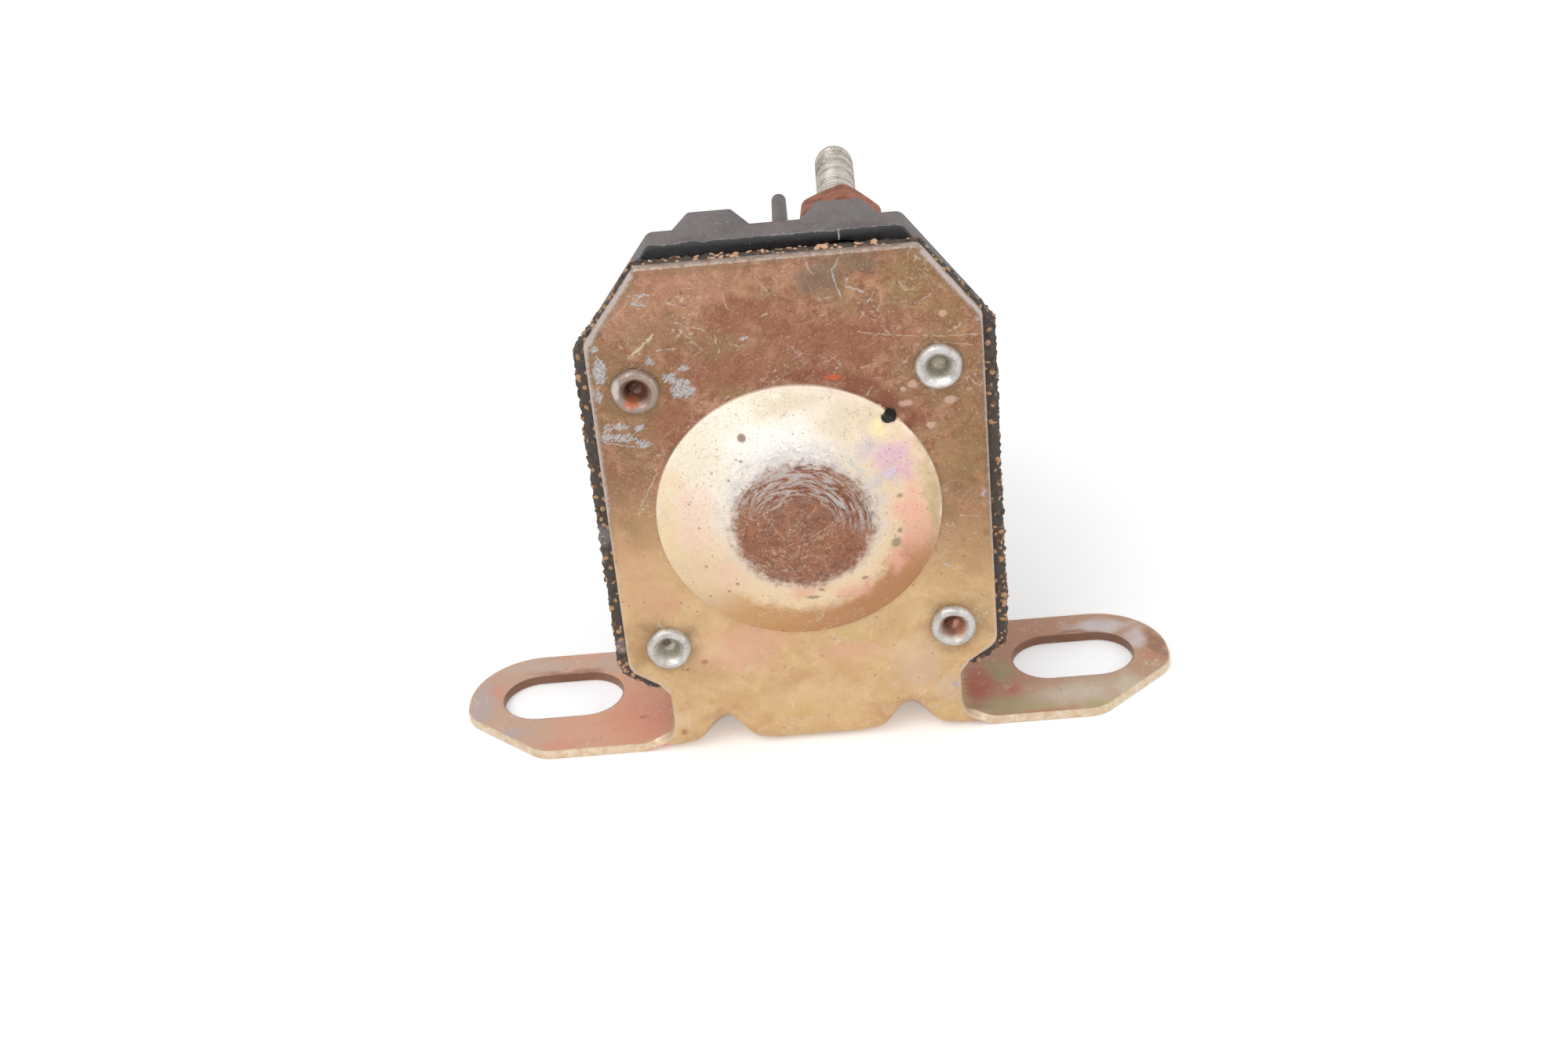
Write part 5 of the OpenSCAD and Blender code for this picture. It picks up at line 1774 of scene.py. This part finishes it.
def moulded_part(name, base, second, fleck, rough, bumps, scale):
    """Moulded, cut or paper part with a mottled face and small flecks"""
    f = Finish(name)
    f.colour = f.mix(f.mask("Blotches", Scale=scale, Detail=6.0, From=0.38, To=0.66), base, second)
    f.lay(f.mask("Specks", Scale=1.4, Size=0.16, Share=0.3) * 0.6, fleck)
    height = f.noise(f.place, 3.0, 5.0, 0.6) * bumps
    return f.done(rough, 0.0, height)


def mouldings(name):
    """Moulded part: two shades and the flecks, then roughness, bumps, the mottling's scale"""
    return moulded_part(name, *{
        "bobbin_plastic": (
            tint(216, 204, 174), tint(200, 184, 148), tint(150, 130, 100), 0.5, 0.015, 0.3),
        "bumper_rubber": (
            tint(62, 58, 54), tint(48, 45, 43), tint(120, 114, 106), 0.75, 0.05, 0.8),
        "insulator": (tint(126, 66, 46), tint(104, 52, 38), tint(170, 112, 80), 0.45, 0.02, 0.7),
    }[name])


def wrap_paper():
    f = Finish("wrap_paper")
    fibre = f.mask("Fine scratches", Turn=0.1, Length=5.0, Spacing=0.3, Width=0.08, Patchy=0.2)
    f.colour = f.mix(
        f.mask("Blotches", Scale=0.3, Detail=6.0), tint(172, 150, 108), tint(150, 126, 86))
    f.lay(fibre * 0.4, 196, 178, 140)
    return f.done(0.8, 0.0, fibre * 0.02)


def enamelled_wire():
    f = Finish("enamelled_wire")
    _, y, _ = f.split(f.place)
    strand = f.math("SINE", y * (2 * math.pi / 0.55))
    # painted shade: the grooves between the wire's turns are darkened
    shaded_groove = f.ramp(strand, -1.0, -0.3)
    f.colour = f.mix(shaded_groove, tint(84, 40, 22), f.mix(
        f.mask("Blotches", Scale=0.4), tint(190, 104, 50), tint(160, 82, 40)))
    return f.done(0.3, 0.6, shaded_groove * 0.12)


FINISHES = {
    "plated_sheet": plated_sheet, "cork_gasket": cork_gasket, "moulded_housing": moulded_housing,
    "rivet_steel": rivet_steel, "plated_hardware": plated_hardware, "wrap_paper": wrap_paper,
    "enamelled_wire": enamelled_wire,
}
MOULDED = ("bobbin_plastic", "bumper_rubber", "insulator")
MADE = {}


def finish(slot):
    """Material of a slot, made when it is first asked for"""
    if slot not in MADE:
        if slot in FINISHES:
            MADE[slot] = FINISHES[slot]()
        else:
            MADE[slot] = mouldings(slot) if slot in MOULDED else metals(slot)
    return MADE[slot]


# Operators, stage and panel


class SOLENOID_OT_cover_plate(bpy.types.Operator):
    """Bend and press the cover plate from its flat pattern"""

    bl_idname = "solenoid.cover_plate"
    bl_label = "Cover plate"

    def execute(self, context):
        build_plate(context.scene.solenoid_plate)
        return {"FINISHED"}


class SOLENOID_OT_gasket(bpy.types.Operator):
    """Cut the cork gasket and show its granules"""

    bl_idname = "solenoid.gasket"
    bl_label = "Gasket"

    def execute(self, context):
        build_gasket(context.scene.solenoid_gasket)
        return {"FINISHED"}


class SOLENOID_OT_housing(bpy.types.Operator):
    """Round the moulded housing's edges"""

    bl_idname = "solenoid.housing"
    bl_label = "Housing"

    def execute(self, context):
        build_housing(context.scene.solenoid_housing)
        return {"FINISHED"}


class SOLENOID_OT_rivets(bpy.types.Operator):
    """Set the four tubular rivets"""

    bl_idname = "solenoid.rivets"
    bl_label = "Rivets"

    def execute(self, context):
        hardware = context.scene.solenoid_hardware
        points, faces = rivet_mesh()
        place_copies(points, faces, "tubular_rivets", ["cover_rivets"], "rivet_steel", {
            "Across": hardware.rivet_across, "Up": hardware.rivet_up, "Rows": 2,
            "Height": AXIS_H / 1000, "Random turn": 3.0, "Seed": hardware.seed,
        })
        return {"FINISHED"}


class SOLENOID_OT_main_terminals(bpy.types.Operator):
    """Thread the battery and starter studs and fit their nuts"""

    bl_idname = "solenoid.main_terminals"
    bl_label = "Main terminals"

    def execute(self, context):
        hardware = context.scene.solenoid_hardware
        main_stud(-1, hardware, "battery_terminal_stud", "battery_stud")
        main_stud(1, hardware, "starter_terminal_stud", "starter_stud")
        points, faces = nut_mesh(*MAIN_NUT)
        place_copies(points, faces, "main_terminal_nuts", ["main_stud_nuts"], "brass_nut", {
            "Across": hardware.main_across, "Up": 0.0, "Rows": 1, "Height": AXIS_H / 1000,
            "Turn": math.radians(-15), "Seed": hardware.seed,
        })
        dress("plated_hardware", "main_stud_washers")
        return {"FINISHED"}


class SOLENOID_OT_coil_terminal(bpy.types.Operator):
    """Thread the coil stud and fit its rusted nut"""

    bl_idname = "solenoid.coil_terminal"
    bl_label = "Coil terminal"

    def execute(self, context):
        coil_stud(context.scene.solenoid_hardware)
        points, faces = nut_mesh(*COIL_NUT)
        c, s = math.cos(COIL_NUT_TURN), math.sin(COIL_NUT_TURN)
        turned = [
            (p[0] * c + p[2] * s + COIL_X, p[1], p[2] * c - p[0] * s + COIL_Z) for p in points]
        make_piece(
            "coil_terminal_nut", turned, faces, ["coil_stud_nut"],
            material=finish("rusty_nut"), angle=30)
        dress("plated_hardware", "coil_stud_washer")
        return {"FINISHED"}


class SOLENOID_OT_springs(bpy.types.Operator):
    """Wind the return spring and the contact spring"""

    bl_idname = "solenoid.springs"
    bl_label = "Springs"

    def execute(self, context):
        build_spring("return_coil_spring", "return_spring", BODY, *RETURN_SPRING)
        build_spring("contact_coil_spring", "contact_spring", "plunger_and_rod", *CONTACT_SPRING)
        return {"FINISHED"}


class SOLENOID_OT_coil_and_core(bpy.types.Operator):
    """Finish the magnetic circuit and the coil"""

    bl_idname = "solenoid.coil_and_core"
    bl_label = "Coil and core"

    def execute(self, context):
        dress("bare_steel", "coil_frame", "pole_plate", "front_pole_washer", "fixed_core")
        dress("brass_tube", "guide_tube")
        dress("bobbin_plastic", "bobbin")
        dress("enamelled_wire", "coil_winding", "coil_lead", "earth_lead")
        dress("wrap_paper", "coil_wrap")
        return {"FINISHED"}


class SOLENOID_OT_plunger_and_contact(bpy.types.Operator):
    """Finish the plunger, its rod and the contact disc's stack"""

    bl_idname = "solenoid.plunger_and_contact"
    bl_label = "Plunger and contact"

    def execute(self, context):
        dress("bare_steel", "plunger")
        dress("brass_tube", "plunger_rod")
        dress("bumper_rubber", "plunger_bumper")
        dress("plated_hardware", "spring_collar")
        dress("insulator", "disc_bushing", "disc_washer")
        dress("copper", "contact_disc")
        dress("spring_steel", "rod_clip")
        return {"FINISHED"}


class SOLENOID_OT_stage(bpy.types.Operator):
    """Set the floor, the lamps, the sky and the camera"""

    bl_idname = "solenoid.stage"
    bl_label = "Stage"

    def execute(self, context):
        build_stage(context.scene.solenoid_stage)
        return {"FINISHED"}


def lamp(name, power, size, place, target):
    data = bpy.data.lights.new(name, "AREA")
    data.energy, data.size = power, size
    obj = bpy.data.objects.new(name, data)
    obj.location = place
    obj.rotation_euler = (Vector(target) - Vector(place)).to_track_quat("-Z", "Y").to_euler()
    bpy.context.scene.collection.objects.link(obj)


def seen(nodes):
    """1 where the camera, a reflection or a clear piece looks, 0 where light falls"""
    rays = nodes.add("ShaderNodeLightPath").outputs
    return nodes.most(*[rays[f"Is {kind} Ray"] for kind in ("Camera", "Glossy", "Transmission")])


def pale_floor(stage):
    material = bpy.data.materials.new("pale_floor")
    material.use_nodes = True
    nodes = Tree(material.node_tree)
    material.node_tree.nodes.clear()
    matt = nodes.add("ShaderNodeBsdfDiffuse", {"Color": rgba(stage.floor)})
    away = nodes.vector("LENGTH", nodes.add("ShaderNodeTexCoord").outputs["Object"])
    far = nodes.ramp(away, 0.25, 0.7) * 0.3 + 0.3
    glow = nodes.add("ShaderNodeEmission", {"Color": (1, 1, 1, 1), "Strength": seen(nodes) * far})
    both = nodes.add("ShaderNodeAddShader", {0: matt, 1: glow})
    nodes.put(nodes.add("ShaderNodeOutputMaterial").inputs["Surface"], both.outputs[0])
    return material


def pale_sky(stage):
    world = bpy.data.worlds.new("pale_sky")
    world.use_nodes = True
    world.node_tree.nodes.clear()
    nodes = Tree(world.node_tree)
    strength = seen(nodes) * (1.0 - stage.sky) + stage.sky
    sky = nodes.add("ShaderNodeBackground", {"Color": (1, 1, 1, 1), "Strength": strength})
    nodes.put(nodes.add("ShaderNodeOutputWorld").inputs["Surface"], sky)
    bpy.context.scene.world = world


CAMERA_PLACE = (0.0060732, -0.2535918, 0.1763332)
CAMERA_TURN = (59.0270, 4.8485, -0.9942)
CAMERA_LENS, CAMERA_SENSOR = 54.03, 36.0
FLOOR_HALF, FLOOR_LEVEL = 1.5, -0.00005
KEY_SIZE, KEY_PLACE = 0.6, (-0.35, -0.45, 0.75)
FILL_SIZE, FILL_PLACE = 0.5, (0.6, -0.5, 0.35)
MIDDLE = (0, 0, 0.03)


def build_stage(stage):
    """Floor, sky, lamps and the camera at the photograph's angle"""
    scene = bpy.context.scene
    mesh = bpy.data.meshes.new("floor")
    corners = [(-1, -1), (1, -1), (1, 1), (-1, 1)]
    mesh.from_pydata(
        [(x * FLOOR_HALF, y * FLOOR_HALF, FLOOR_LEVEL) for x, y in corners], [], [(0, 1, 2, 3)])
    floor = bpy.data.objects.new("floor", mesh)
    scene.collection.objects.link(floor)
    mesh.materials.append(pale_floor(stage))
    pale_sky(stage)
    lamp("key_lamp", stage.key_power, KEY_SIZE, KEY_PLACE, MIDDLE)
    lamp("fill_lamp", stage.fill_power, FILL_SIZE, FILL_PLACE, MIDDLE)
    data = bpy.data.cameras.new("photo_camera")
    data.lens, data.sensor_width = CAMERA_LENS, CAMERA_SENSOR
    data.clip_start = 0.01
    camera = bpy.data.objects.new("photo_camera", data)
    camera.location = CAMERA_PLACE
    camera.rotation_euler = [math.radians(a) for a in CAMERA_TURN]
    scene.collection.objects.link(camera)
    scene.camera = camera
    scene.view_settings.view_transform = "Standard"


class SOLENOID_PT_panel(bpy.types.Panel):
    """Sizes, colours and steps of the starter solenoid"""

    bl_idname = "SOLENOID_PT_panel"
    bl_label = "Starter solenoid"
    bl_space_type = "VIEW_3D"
    bl_region_type = "UI"
    bl_category = "Solenoid"

    def draw(self, context):
        for title, group, operators in STEPS:
            box = self.layout.box()
            box.label(text=title)
            values = getattr(context.scene, group)
            for key in type(values).__annotations__:
                box.prop(values, key)
            for operator in operators:
                box.operator(operator.bl_idname)


STEPS = [
    ("Cover plate", "solenoid_plate", [SOLENOID_OT_cover_plate]),
    ("Gasket", "solenoid_gasket", [SOLENOID_OT_gasket]),
    ("Housing", "solenoid_housing", [SOLENOID_OT_housing]),
    ("Hardware and inner parts", "solenoid_hardware", [
        SOLENOID_OT_rivets, SOLENOID_OT_main_terminals, SOLENOID_OT_coil_terminal,
        SOLENOID_OT_springs, SOLENOID_OT_coil_and_core, SOLENOID_OT_plunger_and_contact,
    ]),
    ("Stage", "solenoid_stage", [SOLENOID_OT_stage]),
]
SETTINGS = {
    "solenoid_plate": PlateSettings, "solenoid_gasket": GasketSettings,
    "solenoid_housing": HousingSettings, "solenoid_hardware": HardwareSettings,
    "solenoid_stage": StageSettings,
}
OPERATORS = [operator for _, _, operators in STEPS for operator in operators]


def register():
    for cls in [*SETTINGS.values(), *OPERATORS, SOLENOID_PT_panel]:
        bpy.utils.register_class(cls)
    for name, cls in SETTINGS.items():
        setattr(bpy.types.Scene, name, PointerProperty(type=cls))


def unregister():
    for name in SETTINGS:
        delattr(bpy.types.Scene, name)
    for cls in [SOLENOID_PT_panel, *reversed(OPERATORS), *reversed(list(SETTINGS.values()))]:
        bpy.utils.unregister_class(cls)


def main():
    register()
    bpy.ops.solenoid.stage()
    bpy.ops.solenoid.cover_plate()
    bpy.ops.solenoid.gasket()
    bpy.ops.solenoid.housing()
    bpy.ops.solenoid.rivets()
    bpy.ops.solenoid.main_terminals()
    bpy.ops.solenoid.coil_terminal()
    bpy.ops.solenoid.springs()
    bpy.ops.solenoid.coil_and_core()
    bpy.ops.solenoid.plunger_and_contact()


if __name__ == "__main__":
    main()
